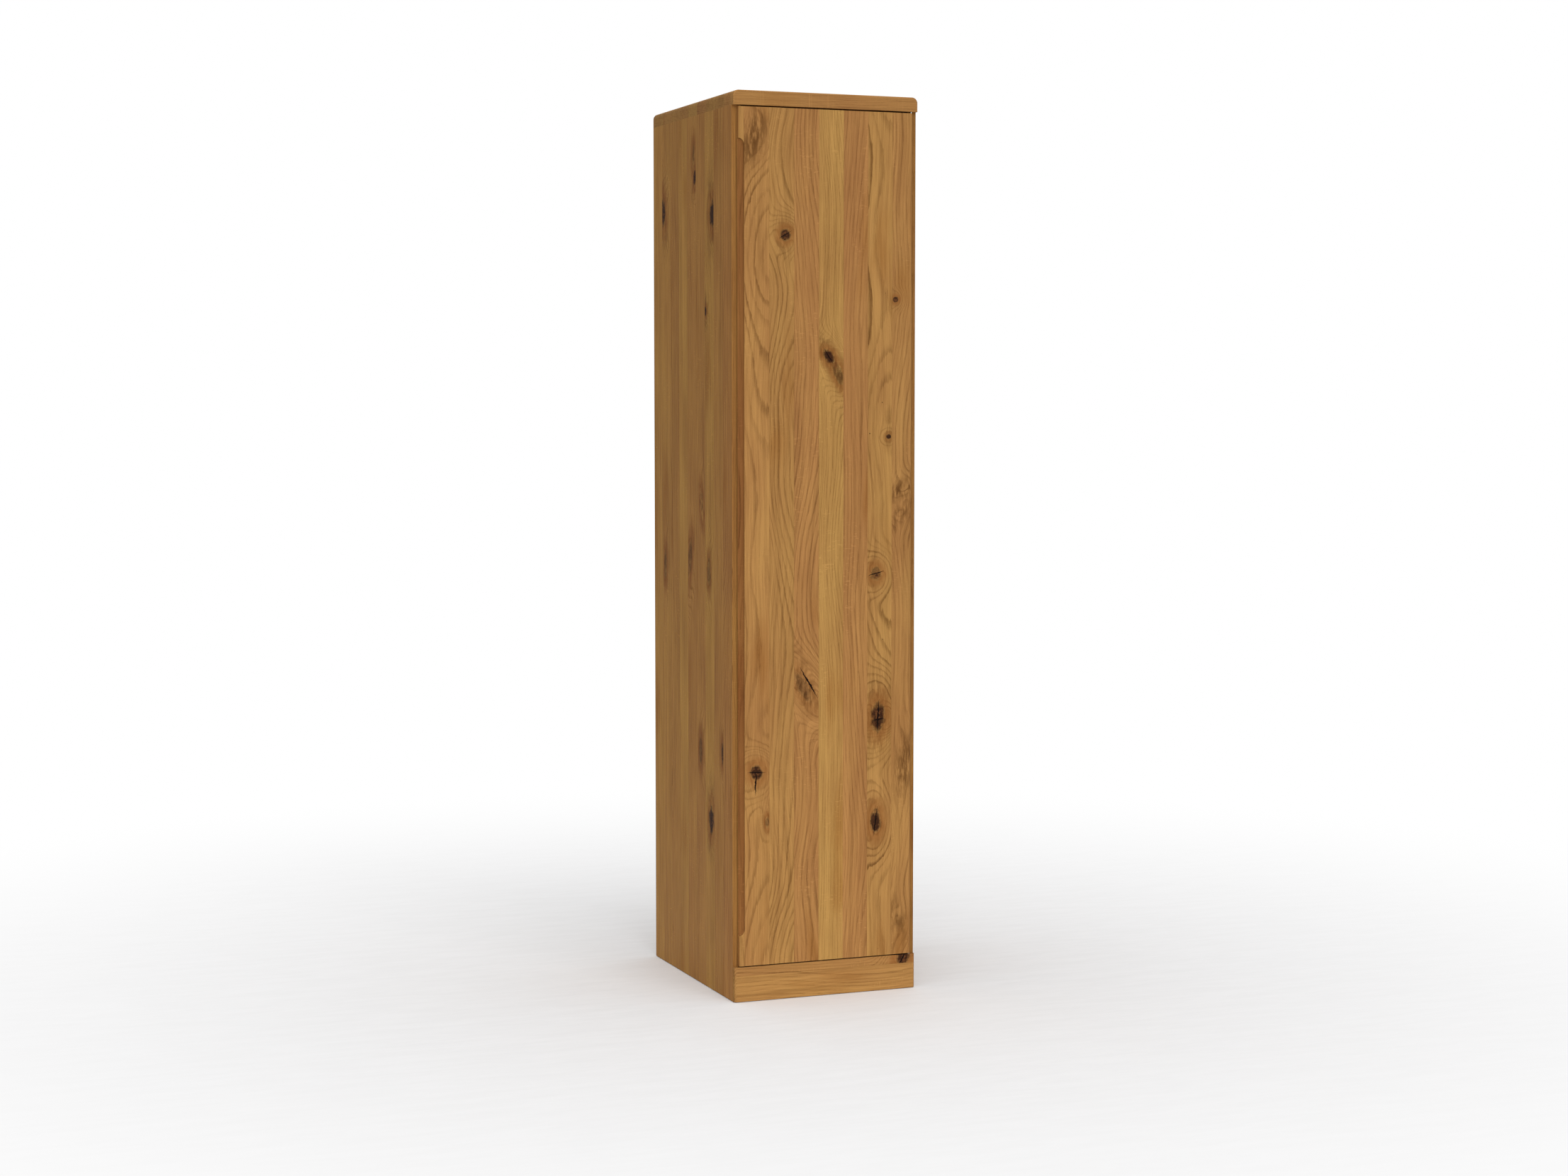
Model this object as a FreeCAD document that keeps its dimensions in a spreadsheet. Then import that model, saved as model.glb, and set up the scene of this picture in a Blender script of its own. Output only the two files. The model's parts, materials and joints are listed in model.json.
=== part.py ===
import FreeCAD, Part
import math
import os
import re
import Sketcher

# Tall one-door pantry cabinet in solid oak.
# Frame: +Z up, the door faces -Y, origin on the floor under the middle of the cabinet.
# Millimetres throughout.

doc = FreeCAD.newDocument("PantryCabinet")

dimensions = {
    # overall
    "width": 480,
    "depth": 595,
    "height": 2200,
    # boards
    "top_thick": 35,
    "top_round": 14,
    "corner_round": 3,
    "side_thick": 22,
    "side_recess": 10.6,
    "side_arris": 2,
    "board_thick": 22,
    "shelf_thick": 20,
    "shelf_clear": 6,
    "shelf_side_gap": 1,
    "back_thick": 8,
    "back_gap": 0.5,
    "back_rebate": 10,
    # plinth
    "plinth_top": 86,
    "plinth_thick": 22,
    "plinth_round": 8,
    "rail_thick": 18,
    "rail_inset": 40,
    "block_size": 30,
    # door
    "door_thick": 22,
    "door_inset": 11.7,
    "lip_gap": 2.2,
    "door_side_gap": 2.5,
    "door_gap_top": 3.8,
    "door_gap_bottom": 2.8,
    "door_round": 8,
    # finger recess along the door's opening edge
    "grip_margin": 74.5,
    "grip_radius": 15.7,
    "grip_deep": 5.5,
    "grip_cove": 4,
    # door battens and stop rail
    "batten_thick": 18,
    "batten_high": 80,
    "batten_inset": 50,
    "batten_margin": 150,
    "stop_gap": 2,
    "stop_thick": 20,
    "stop_high": 45,
    # pivot hinges
    "pivot_edge": 4.1,
    "pivot_back": 3.8,
    "pin_dia": 4,
    "pin_slack": 0.05,
    "pin_past": 2,
    "leaf_thick": 2.5,
    "leaf_nose": 2.5,
    "leaf_clear": 1.5,
    "leaf_long": 40,
    "leaf_wide": 13,
    "washer_dia": 7,
    "washer_slack": 0.2,
    # shelf supports
    "row_first": 170,
    "row_pitch": 32,
    "hole_deep": 10,
    "peg_dia": 5,
    "peg_deep": 9,
    "peg_head": 7,
    "peg_out": 8,
    "peg_front": 37,
    "peg_rear": 60,
    # knock-down fittings
    "fit_end": 80,
    "dowel_end": 130,
    "dowel_dia": 8,
    "dowel_in": 12,
    "dowel_out": 23,
    "bolt_dia": 6,
    "bolt_in": 11,
    "cam_reach": 24,
    "cam_dia": 15,
    "cam_deep": 15,
    # screws
    "screw_dia": 3,
    "screw_head": 5.6,
    "screw_cone": 1.6,
    "screw_short": 16,
    "screw_long": 28,
    # magnetic catch
    "catch_in": 60,
    "catch_wide": 30,
    "catch_high": 13,
    "catch_deep": 18,
    "catch_ear": 9,
    "ear_thick": 2.6,
    "magnet_wide": 22,
    "magnet_high": 7,
    "strike_wide": 34,
    "strike_high": 13,
    "strike_thick": 1.2,
    "strike_gap": 0.4,
    # bumpers and glides
    "bumper_dia": 8,
    "bumper_gap": 0.4,
    "bumper_margin": 60,
    "glide_dia": 18,
    "glide_thick": 1.5,
    "glide_spigot": 5,
    "spigot_high": 8,
    "glide_inset": 60,
    # wall bracket
    "bracket_wide": 120,
    "bracket_leg": 25,
    "bracket_drop": 40,
    "bracket_thick": 2.5,
    "bracket_pitch": 80,
    "wall_hole": 6,
    "wall_hole_drop": 25,
    "access_hole": 10,
}

sheet = doc.addObject("Spreadsheet::Sheet", "Sizes")
for row, (alias, value) in enumerate(dimensions.items(), start=1):
    sheet.set(f"A{row}", alias)
    sheet.set(f"B{row}", str(value))
    sheet.setAlias(f"B{row}", alias)
doc.recompute()

# Planes and places that several pieces share, as formulas over the sheet.
left = "(-width / 2)"
front = "(-depth / 2)"
rear = "(depth / 2)"
inner_left = "(-width / 2 + side_thick)"
inner_right = "(width / 2 - side_thick)"
inner_wide = "(width - 2 * side_thick)"
under_top = "(height - top_thick)"
side_high = "(height - top_thick - glide_thick)"
back_front = "(depth / 2 - back_thick)"
shelf_front = "(-depth / 2 + door_thick + batten_thick + shelf_clear)"
bay = "((height - top_thick - plinth_top - board_thick) / 2)"
fixed_low = f"(plinth_top + {bay})"
floor_low = "(plinth_top - board_thick)"
door_left = "(-width / 2 + door_inset)"
door_bottom = "(plinth_top + door_gap_bottom)"
door_top = "(height - top_thick - door_gap_top)"
door_high = f"({door_top} - {door_bottom})"
door_wide = "(width - 2 * door_inset)"
door_back = "(-depth / 2 + door_thick)"
door_lip = "(side_recess - lip_gap)"
lip_wide = "(side_thick + door_side_gap - door_inset)"
pivot_x = "(width / 2 - door_inset - pivot_edge)"
pivot_y = f"(-depth / 2 + {door_lip} - pivot_back)"
stop_front = "(-depth / 2 + door_thick + stop_gap)"
stop_low = "(height - top_thick - stop_high)"
peg_ys = [f"({shelf_front} + peg_front)", f"({back_front} - peg_rear)"]


def formula(text):
    """Prefix every dimension's name with the sheet's."""
    return re.sub(r"[a-z_]+", lambda word: "Sizes." + word[0] if word[0] in dimensions else word[0], text)


def bind(thing, path, text):
    thing.setExpression(path, formula(str(text)))


def put(thing, place):
    for axis, text in zip("xyz", place):
        bind(thing, f"Placement.Base.{axis}", text)


# ---- primitives bound to the sheet ----

def block(name, low, size):
    box = doc.addObject("Part::Box", name)
    for side, text in zip(("Length", "Width", "Height"), size):
        bind(box, side, text)
    put(box, low)
    return box


turns = {
    "+x": FreeCAD.Rotation(FreeCAD.Vector(0, 1, 0), 90),
    "-x": FreeCAD.Rotation(FreeCAD.Vector(0, 1, 0), -90),
    "+y": FreeCAD.Rotation(FreeCAD.Vector(1, 0, 0), -90),
    "-y": FreeCAD.Rotation(FreeCAD.Vector(1, 0, 0), 90),
    "+z": FreeCAD.Rotation(),
    "-z": FreeCAD.Rotation(FreeCAD.Vector(1, 0, 0), 180),
}


def rod(name, start, way, dia, length):
    cylinder = doc.addObject("Part::Cylinder", name)
    bind(cylinder, "Radius", f"({dia}) / 2")
    bind(cylinder, "Height", length)
    cylinder.Placement.Rotation = turns[way]
    put(cylinder, start)
    return cylinder


def joined(name, pieces):
    fuse = doc.addObject("Part::MultiFuse", name)
    fuse.Shapes = pieces
    return fuse


def group(name, pieces):
    compound = doc.addObject("Part::Compound", name)
    compound.Links = pieces
    return compound


def minus(name, base, *tools):
    """Cut the tools out of the base, one after the other."""
    for number, tool in enumerate(tools):
        last = number == len(tools) - 1
        cut = doc.addObject("Part::Cut", name if last else f"{name}_step{number}")
        cut.Base = base
        cut.Tool = tool
        base = cut
    return base


def screw(name, seat, way, length):
    """Countersunk wood screw: seat is the middle of its flat head, way is where it points."""
    head = doc.addObject("Part::Cone", f"{name}_head")
    bind(head, "Radius1", "screw_head / 2")
    bind(head, "Radius2", "screw_dia / 2")
    bind(head, "Height", "screw_cone")
    head.Placement.Rotation = turns[way]
    put(head, seat)
    shank = rod(f"{name}_shank", seat, way, "screw_dia", length)
    return joined(name, [head, shank])


# ---- sketched bodies ----

def new_body(name, place):
    body = doc.addObject("PartDesign::Body", name)
    put(body, place)
    return body


def new_sketch(body, name, role, lift="0"):
    sketch = body.newObject("Sketcher::SketchObject", name)
    plane = next(feature for feature in body.Origin.OriginFeatures if feature.Role == role)
    sketch.AttachmentSupport = [(plane, "")]
    sketch.MapMode = "FlatFace"
    bind(sketch, "AttachmentOffset.Base.z", lift)
    return sketch


def pin_point(sketch, geometry, point, place):
    """Dimension a point from the sketch's origin, or hold it on an axis where it is 0."""
    drawn = sketch.getPoint(geometry, point)
    across = ("DistanceX", place[0], drawn.x, -2)
    along = ("DistanceY", place[1], drawn.y, -1)
    for kind, text, value, axis in (across, along):
        if text == "0":
            sketch.addConstraint(Sketcher.Constraint("PointOnObject", geometry, point, axis))
        elif text is not None:
            number = sketch.addConstraint(Sketcher.Constraint(kind, -1, 1, geometry, point, value))
            sketch.setExpression(f"Constraints[{number}]", formula(text))


def draw_outline(sketch, corners):
    count = len(corners)
    spots = []
    for number in range(count):
        turn = 2 * math.pi * number / count
        spots.append(FreeCAD.Vector(20 + 10 * math.cos(turn), 20 + 10 * math.sin(turn), 0))
    for number in range(count):
        sketch.addGeometry(Part.LineSegment(spots[number], spots[(number + 1) % count]))
    for number in range(count):
        sketch.addConstraint(Sketcher.Constraint("Coincident", number, 2, (number + 1) % count, 1))
    for number, corner in enumerate(corners):
        pin_point(sketch, number, 1, corner)


def add_pad(body, sketch, name, length):
    pad = body.newObject("PartDesign::Pad", name)
    pad.Profile = sketch
    bind(pad, "Length", length)
    doc.recompute()
    return pad


def add_pocket(body, sketch, name, length, up):
    """Cut along the sketch's normal where up is true, against it otherwise."""
    before = body.Shape.Volume
    pocket = body.newObject("PartDesign::Pocket", name)
    pocket.Profile = sketch
    pocket.Reversed = up
    bind(pocket, "Length", length)
    doc.recompute()
    if body.Shape.Volume >= before:
        raise RuntimeError(f"{name} cut nothing")
    return pocket


def add_fillet(body, name, radius, wanted):
    """Round the tip's edges whose middle passes the wanted test."""
    tip = body.Tip
    picked = []
    for number, edge in enumerate(tip.Shape.Edges, start=1):
        middle = edge.valueAt((edge.FirstParameter + edge.LastParameter) / 2)
        if wanted(edge, middle, tip.Shape.BoundBox):
            picked.append(f"Edge{number}")
    fillet = body.newObject("PartDesign::Fillet", name)
    fillet.Base = (tip, picked)
    bind(fillet, "Radius", radius)
    doc.recompute()
    return fillet


def near(value, target):
    return abs(value - target) < 0.01


def runs_along(edge, axis):
    ends = [vertex.Point for vertex in edge.Vertexes]
    if len(ends) < 2:
        return False
    span = ends[1] - ends[0]
    others = [abs(part) for name, part in zip("xyz", span) if name != axis]
    return max(others) < 0.01


# ---- knock-down fittings, shared by the boards they join ----

def end_fittings(tag, z_level, ys, side_sign):
    """Bolt, cam blank and dowels at one end of a level board; side_sign is -1 left or 1 right."""
    inner = inner_left if side_sign < 0 else inner_right
    into = "+x" if side_sign < 0 else "-x"
    sign = "-" if side_sign < 0 else "+"
    other = "+" if side_sign < 0 else "-"
    fit_ys, dowel_ys = ys
    bolts = []
    cams = []
    pegs = []
    middle = f"({z_level} + board_thick / 2)"
    for number, y_place in enumerate(fit_ys):
        start = (f"{inner} {sign} bolt_in", y_place, middle)
        bolts.append(rod(f"{tag}_bolt{number}", start, into, "bolt_dia", "bolt_in + cam_reach"))
        centre = (f"{inner} {other} cam_reach", y_place, z_level)
        cams.append(rod(f"{tag}_blank{number}", centre, "+z", "cam_dia", "cam_deep"))
    for number, y_place in enumerate(dowel_ys):
        start = (f"{inner} {sign} dowel_in", y_place, middle)
        pegs.append(rod(f"{tag}_dowel{number}", start, into, "dowel_dia", "dowel_in + dowel_out"))
    return bolts, cams, pegs


def top_fittings(tag, ys, side_sign):
    """The same fittings upright, between a side panel and the top board."""
    sign = "-" if side_sign < 0 else "+"
    other = "+" if side_sign < 0 else "-"
    middle = f"({sign} width / 2 {other} side_thick / 2)" if sign == "-" else "(width / 2 - side_thick / 2)"
    inner = inner_left if side_sign < 0 else inner_right
    outward = "-x" if side_sign < 0 else "+x"
    fit_ys, dowel_ys = ys
    bolts = []
    cams = []
    pegs = []
    for number, y_place in enumerate(fit_ys):
        start = (middle, y_place, f"{under_top} - cam_reach")
        bolts.append(rod(f"{tag}_bolt{number}", start, "+z", "bolt_dia", "bolt_in + cam_reach"))
        centre = (inner, y_place, f"{under_top} - cam_reach")
        cams.append(rod(f"{tag}_blank{number}", centre, outward, "cam_dia", "cam_deep"))
    for number, y_place in enumerate(dowel_ys):
        start = (middle, y_place, f"{under_top} - dowel_out")
        pegs.append(rod(f"{tag}_dowel{number}", start, "+z", "dowel_dia", "dowel_in + dowel_out"))
    return bolts, cams, pegs


board_ys = (
    [f"({front} + fit_end)", f"({rear} - fit_end)"],
    [f"({front} + dowel_end)", f"({rear} - dowel_end)"],
)
all_bolts = []
all_blanks = []
all_dowels = []
for side_name, side_sign in (("left", -1), ("right", 1)):
    for board_name, level in (("floor", floor_low), ("middle", fixed_low)):
        bolts, blanks, dowels = end_fittings(f"{board_name}_{side_name}", level, board_ys, side_sign)
        all_bolts += bolts
        all_blanks += blanks
        all_dowels += dowels
    bolts, blanks, dowels = top_fittings(f"top_{side_name}", board_ys, side_sign)
    all_bolts += bolts
    all_blanks += blanks
    all_dowels += dowels

# Dowels in the ends of the stop rail and the rear plinth rail.
rail_y = f"({rear} - rail_inset - rail_thick / 2)"
stop_y = f"({stop_front} + stop_thick / 2)"
rail_spots = {
    "stop": (stop_y, f"({stop_low} + stop_high / 2)"),
    "plinth": (rail_y, f"((glide_thick + {floor_low}) / 2)"),
}
for rail_name, (y_place, z_place) in rail_spots.items():
    start = (f"{inner_left} - dowel_in", y_place, z_place)
    all_dowels.append(rod(f"{rail_name}_dowel_left", start, "+x", "dowel_dia", "dowel_in + dowel_out"))
    start = (f"{inner_right} + dowel_in", y_place, z_place)
    all_dowels.append(rod(f"{rail_name}_dowel_right", start, "-x", "dowel_dia", "dowel_in + dowel_out"))

cam_bolts = group("cam_bolts", all_bolts)
cam_blanks = group("cam_blanks", all_blanks)
dowels_node = group("dowels", all_dowels)
cam_locks = group("cam_locks", [
    minus(f"cam_lock{number}", blank, bolt)
    for number, (blank, bolt) in enumerate(zip(all_blanks, all_bolts))
])

# ---- glide pads under the side panels ----

glides = []
glide_xs = (("left", "(-width / 2 + side_thick / 2)"), ("right", "(width / 2 - side_thick / 2)"))
for x_sign, x_place in glide_xs:
    for y_name, y_place in (("front", f"({front} + glide_inset)"), ("rear", f"({rear} - glide_inset)")):
        tag = f"glide_{x_sign}_{y_name}"
        pad = rod(f"{tag}_pad", (x_place, y_place, "0"), "+z", "glide_dia", "glide_thick")
        spigot = rod(f"{tag}_spigot", (x_place, y_place, "0"), "+z", "glide_spigot",
                     "glide_thick + spigot_high")
        glides.append(joined(tag, [pad, spigot]))
glide_pads = group("glide_pads", glides)

# ---- back panel screws ----

back_screw_list = []
back_x = "(width / 2 - side_thick + back_rebate / 2)"
back_spans = (
    ("lower", floor_low, f"({fixed_low} + board_thick / 2)"),
    ("upper", f"({fixed_low} + board_thick / 2)", under_top),
)
side_screws = 5
for panel_name, low, high in back_spans:
    for number in range(side_screws):
        share = (number + 0.5) / side_screws
        z_place = f"({low} + ({high} - {low}) * {share})"
        for x_name, x_place in (("l", f"(-{back_x})"), ("r", back_x)):
            seat = (x_place, rear, z_place)
            back_screw_list.append(screw(f"back_{panel_name}_{x_name}{number}", seat, "-y", "screw_long"))
edge_rows = (
    ("floor", f"({floor_low} + board_thick / 2)"),
    ("under", f"({fixed_low} + board_thick / 4)"),
    ("over", f"({fixed_low} + board_thick * 3 / 4)"),
)
for row_name, z_place in edge_rows:
    for x_name, x_place in (("l", "(-width / 4)"), ("r", "(width / 4)")):
        seat = (x_place, rear, z_place)
        back_screw_list.append(screw(f"back_{row_name}_{x_name}", seat, "-y", "screw_long"))
back_panel_screws = group("back_panel_screws", back_screw_list)

# ---- pivot hinges ----

leaf_front = f"({pivot_y} - leaf_nose)"
leaf_arm = f"({lip_wide} + leaf_clear - pivot_edge)"
screw_seats = [f"{leaf_arm} + 8", f"{leaf_arm} + leaf_long - 8"]


def leaf_blank(name, z_low):
    """Flat leaf: a round nose at the pivot, a narrow arm and a wide screw plate."""
    nose = rod(f"{name}_nose", (pivot_x, pivot_y, z_low), "+z", "2 * leaf_nose", "leaf_thick")
    arm = block(f"{name}_arm", (f"{pivot_x} - {leaf_arm} - 1", leaf_front, z_low),
                (f"{leaf_arm} + 1", "2 * leaf_nose", "leaf_thick"))
    plate = block(f"{name}_plate", (f"{pivot_x} - {leaf_arm} - leaf_long", leaf_front, z_low),
                  ("leaf_long", "leaf_wide", "leaf_thick"))
    return joined(f"{name}_blank", [nose, arm, plate])


def leaf_screws(name, z_seat, way):
    screws = []
    for number, offset in enumerate(screw_seats):
        seat = (f"{pivot_x} - ({offset})", f"{leaf_front} + leaf_wide / 2", z_seat)
        screws.append(screw(f"{name}{number}", seat, way, "screw_short"))
    return screws


hinge_ends = {
    "lower": {
        "carcase": ("(plinth_top - leaf_thick)", "plinth_top", "-z"),
        "door": (door_bottom, door_bottom, "+z"),
        "pin": ("(plinth_top - leaf_thick)", "(door_gap_bottom + 2 * leaf_thick + pin_past)"),
    },
    "upper": {
        "carcase": (under_top, under_top, "+z"),
        "door": (f"({door_top} - leaf_thick)", door_top, "-z"),
        "pin": (f"({door_top} - leaf_thick - pin_past)", "(door_gap_top + 2 * leaf_thick + pin_past)"),
    },
}
leaves = {}
blanks_by_side = {"carcase": [], "door": []}
screws_by_side = {"carcase": [], "door": []}
pins = []
slack_rods = []
for end_name, end in hinge_ends.items():
    z_pin, pin_long = end["pin"]
    pin = rod(f"pin_{end_name}", (pivot_x, pivot_y, z_pin), "+z", "pin_dia", pin_long)
    slack = rod(f"slack_{end_name}", (pivot_x, pivot_y, f"{z_pin} - 1"), "+z",
                "pin_dia + 2 * pin_slack", f"{pin_long} + 2")
    pins.append(pin)
    slack_rods.append(slack)
    for side in ("carcase", "door"):
        z_low, z_seat, way = end[side]
        name = f"{side}_leaf_{end_name}"
        blank = leaf_blank(name, z_low)
        screws = leaf_screws(f"{name}_screw", z_seat, way)
        bore = pin if side == "carcase" else slack
        leaves[name] = minus(name, blank, group(f"{name}_holes", screws), bore)
        blanks_by_side[side].append(blank)
        screws_by_side[side] += screws
pivot_pins = group("pivot_pins", pins)
pin_slacks = group("pin_slacks", slack_rods)
carcase_leaf_screws = group("carcase_leaf_screws", screws_by_side["carcase"])
door_leaf_screws = group("door_leaf_screws", screws_by_side["door"])
carcase_mortises = group("carcase_mortises", blanks_by_side["carcase"])
door_mortises = group("door_mortises", blanks_by_side["door"])

thrust_washer = minus(
    "thrust_washer",
    rod("washer_blank", (pivot_x, pivot_y, "plinth_top"), "+z", "washer_dia",
        "door_gap_bottom - washer_slack"),
    rod("washer_bore", (pivot_x, pivot_y, "plinth_top - 1"), "+z", "pin_dia + washer_slack",
        "door_gap_bottom + 2"),
)

# ---- wall bracket ----

bracket_y = f"({back_front} - bracket_leg)"
bracket_screw_list = []
wall_holes = []
access_holes = []
for x_name, x_place in (("l", "(-bracket_pitch / 2)"), ("r", "(bracket_pitch / 2)")):
    seat = (x_place, f"{bracket_y} + bracket_leg / 2 - bracket_thick", f"{under_top} - bracket_thick")
    bracket_screw_list.append(screw(f"bracket_screw_{x_name}", seat, "+z", "screw_short"))
    hole_z = f"{under_top} - wall_hole_drop"
    wall_holes.append(rod(f"wall_hole_{x_name}", (x_place, f"{back_front} - bracket_thick - 1", hole_z),
                          "+y", "wall_hole", "bracket_thick + 1"))
    access_holes.append(rod(f"access_hole_{x_name}", (x_place, back_front, hole_z), "+y",
                            "access_hole", "back_thick + 1"))
bracket_screws = group("bracket_screws", bracket_screw_list)
bracket_blank = joined("bracket_blank", [
    block("bracket_flat", ("-bracket_wide / 2", bracket_y, f"{under_top} - bracket_thick"),
          ("bracket_wide", "bracket_leg", "bracket_thick")),
    block("bracket_upright", ("-bracket_wide / 2", f"{back_front} - bracket_thick",
                              f"{under_top} - bracket_drop"),
          ("bracket_wide", "bracket_thick", "bracket_drop")),
])
wall_bracket = minus("wall_bracket", bracket_blank, bracket_screws, group("wall_holes", wall_holes))

# ---- top board ----

top_body = new_body("top_blank", (left, front, under_top))
top_plan = new_sketch(top_body, "top_plan", "XY_Plane")
draw_outline(top_plan, [("0", "0"), ("width", "0"), ("width", "depth"), ("0", "depth")])
add_pad(top_body, top_plan, "top_pad", "top_thick")
add_fillet(top_body, "top_ends", "top_round",
           lambda edge, spot, box: runs_along(edge, "y") and near(spot.z, box.ZMax))
add_fillet(top_body, "top_corners", "corner_round",
           lambda edge, spot, box: runs_along(edge, "z") and near(spot.y, box.YMin)
           and (near(spot.x, box.XMin) or near(spot.x, box.XMax)))
top_board = minus("top_board", top_body, dowels_node, cam_bolts, carcase_mortises,
                  carcase_leaf_screws, pivot_pins, bracket_screws)

# ---- side panels ----

side_body = new_body("side_blank", (left, f"{front} + side_recess", "glide_thick"))
side_plan = new_sketch(side_body, "side_plan", "XY_Plane")
side_deep = "(depth - side_recess)"
draw_outline(side_plan, [
    ("0", "0"),
    ("side_thick", "0"),
    ("side_thick", f"{side_deep} - back_thick"),
    ("side_thick - back_rebate", f"{side_deep} - back_thick"),
    ("side_thick - back_rebate", side_deep),
    ("0", side_deep),
])
add_pad(side_body, side_plan, "side_pad", side_high)
add_fillet(side_body, "side_front_arris", "side_arris",
           lambda edge, spot, box: runs_along(edge, "z") and near(spot.y, box.YMin))
row_count = f"floor(({bay} - 2 * row_first) / row_pitch) + 1"
for bay_number, bay_name in enumerate(("lower", "upper")):
    bay_floor = f"(plinth_top - glide_thick + {bay_number} * ({bay} + board_thick))"
    rows = new_sketch(side_body, f"peg_holes_{bay_name}_sketch", "YZ_Plane", "side_thick")
    for number, y_place in enumerate(peg_ys):
        circle = Part.Circle(FreeCAD.Vector(40 + 20 * number, 40, 0), FreeCAD.Vector(0, 0, 1), 2)
        rows.addGeometry(circle)
        pin_point(rows, number, 3, (f"{y_place} - {front} - side_recess", f"{bay_floor} + row_first"))
        size = rows.addConstraint(Sketcher.Constraint("Diameter", number, 4.0))
        rows.setExpression(f"Constraints[{size}]", formula("peg_dia"))
    holes = add_pocket(side_body, rows, f"peg_holes_{bay_name}", "hole_deep", False)
    pattern = side_body.newObject("PartDesign::LinearPattern", f"peg_rows_{bay_name}")
    pattern.Originals = [holes]
    pattern.Direction = (rows, ["V_Axis"])
    bind(pattern, "Length", f"({row_count} - 1) * row_pitch")
    bind(pattern, "Occurrences", row_count)
    side_body.Tip = pattern
    doc.recompute()
side_panel_left = minus("side_panel_left", side_body, dowels_node, cam_bolts, cam_blanks,
                        back_panel_screws, glide_pads)
side_panel_right = doc.addObject("Part::Mirroring", "side_panel_right")
side_panel_right.Source = side_panel_left
side_panel_right.Normal = (1, 0, 0)

# ---- level boards between the sides ----

bottom_panel = minus(
    "bottom_panel",
    block("bottom_blank", (inner_left, f"{front} + plinth_thick", floor_low),
          (inner_wide, "depth - plinth_thick - back_thick", "board_thick")),
    dowels_node, cam_bolts, cam_blanks, back_panel_screws,
)
fixed_shelf = minus(
    "fixed_shelf",
    block("fixed_blank", (inner_left, shelf_front, fixed_low),
          (inner_wide, f"{back_front} - {shelf_front}", "board_thick")),
    dowels_node, cam_bolts, cam_blanks, back_panel_screws,
)

# ---- plinth ----

plinth_body = new_body("plinth_blank", (left, front, "glide_thick"))
plinth_plan = new_sketch(plinth_body, "plinth_plan", "XY_Plane")
draw_outline(plinth_plan, [
    ("0", "0"),
    ("width", "0"),
    ("width", "side_recess"),
    ("width - side_thick", "side_recess"),
    ("width - side_thick", "plinth_thick"),
    ("side_thick", "plinth_thick"),
    ("side_thick", "side_recess"),
    ("0", "side_recess"),
])
add_pad(plinth_body, plinth_plan, "plinth_pad", "plinth_top - glide_thick")
add_fillet(plinth_body, "plinth_corners", "min(plinth_round; side_recess - 0.4)",
           lambda edge, spot, box: runs_along(edge, "z") and near(spot.y, box.YMin))
plinth_board = minus("plinth_board", plinth_body, carcase_mortises, carcase_leaf_screws, pivot_pins)
rear_plinth_rail = minus(
    "rear_plinth_rail",
    block("rail_blank", (inner_left, f"{rear} - rail_inset - rail_thick", "glide_thick"),
          (inner_wide, "rail_thick", f"{floor_low} - glide_thick")),
    dowels_node,
)
corner_blocks = group("corner_blocks", [
    block(f"corner_block_{name}", (x_place, f"{front} + plinth_thick", "glide_thick + 4"),
          ("block_size", "block_size", f"{floor_low} - glide_thick - 4"))
    for name, x_place in (("left", inner_left), ("right", f"{inner_right} - block_size"))
])

# ---- back panels ----

back_panels = {}
for panel_name, low, high in back_spans:
    name = f"back_panel_{panel_name}"
    corner = (f"{inner_left} - back_rebate + back_gap", back_front, f"{low} + back_gap")
    size = (f"{inner_wide} + 2 * back_rebate - 2 * back_gap", "back_thick", f"{high} - {low} - 2 * back_gap")
    blank = block(f"{name}_blank", corner, size)
    tools = [back_panel_screws]
    if panel_name == "upper":
        tools.append(group("access_holes", access_holes))
    back_panels[name] = minus(name, blank, *tools)

# ---- stop rail and magnetic catch ----

catch_x = f"({inner_left} + catch_in)"
catch_top = stop_low
magnet_y = f"({door_back} + strike_thick + strike_gap)"
ear_screw_list = []
for x_name, sign in (("l", "-"), ("r", "+")):
    seat = (f"{catch_x} {sign} (catch_wide + catch_ear) / 2", f"{stop_front} + 1 + catch_deep / 2",
            f"{catch_top} - ear_thick")
    ear_screw_list.append(screw(f"catch_screw_{x_name}", seat, "+z", "screw_short"))
catch_screws = group("catch_screws", ear_screw_list)
catch_magnet = block("catch_magnet", (f"{catch_x} - magnet_wide / 2", magnet_y,
                                      f"{catch_top} - ear_thick - 1 - magnet_high"),
                     ("magnet_wide", "catch_deep - 3", "magnet_high"))
catch_blank = joined("catch_blank", [
    block("catch_case", (f"{catch_x} - catch_wide / 2", f"{stop_front} + 1", f"{catch_top} - catch_high"),
          ("catch_wide", "catch_deep", "catch_high")),
    block("catch_ears", (f"{catch_x} - catch_wide / 2 - catch_ear", f"{stop_front} + 1",
                         f"{catch_top} - ear_thick"),
          ("catch_wide + 2 * catch_ear", "catch_deep", "ear_thick")),
])
catch_housing = minus("catch_housing", catch_blank, catch_magnet, catch_screws)
door_stop_rail = minus(
    "door_stop_rail",
    block("stop_blank", (inner_left, stop_front, stop_low), (inner_wide, "stop_thick", "stop_high")),
    dowels_node, catch_screws,
)
strike_z = f"({catch_top} - ear_thick - 1 - magnet_high / 2)"
strike_screw = screw("strike_screw", (catch_x, f"{door_back} + strike_thick", strike_z), "-y",
                     "screw_short - strike_thick - 2")
strike_plate = minus(
    "strike_plate",
    block("strike_blank", (f"{catch_x} - strike_wide / 2", door_back, f"{strike_z} - strike_high / 2"),
          ("strike_wide", "strike_thick", "strike_high")),
    strike_screw,
)

# ---- adjustable shelves and their pegs ----

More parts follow.
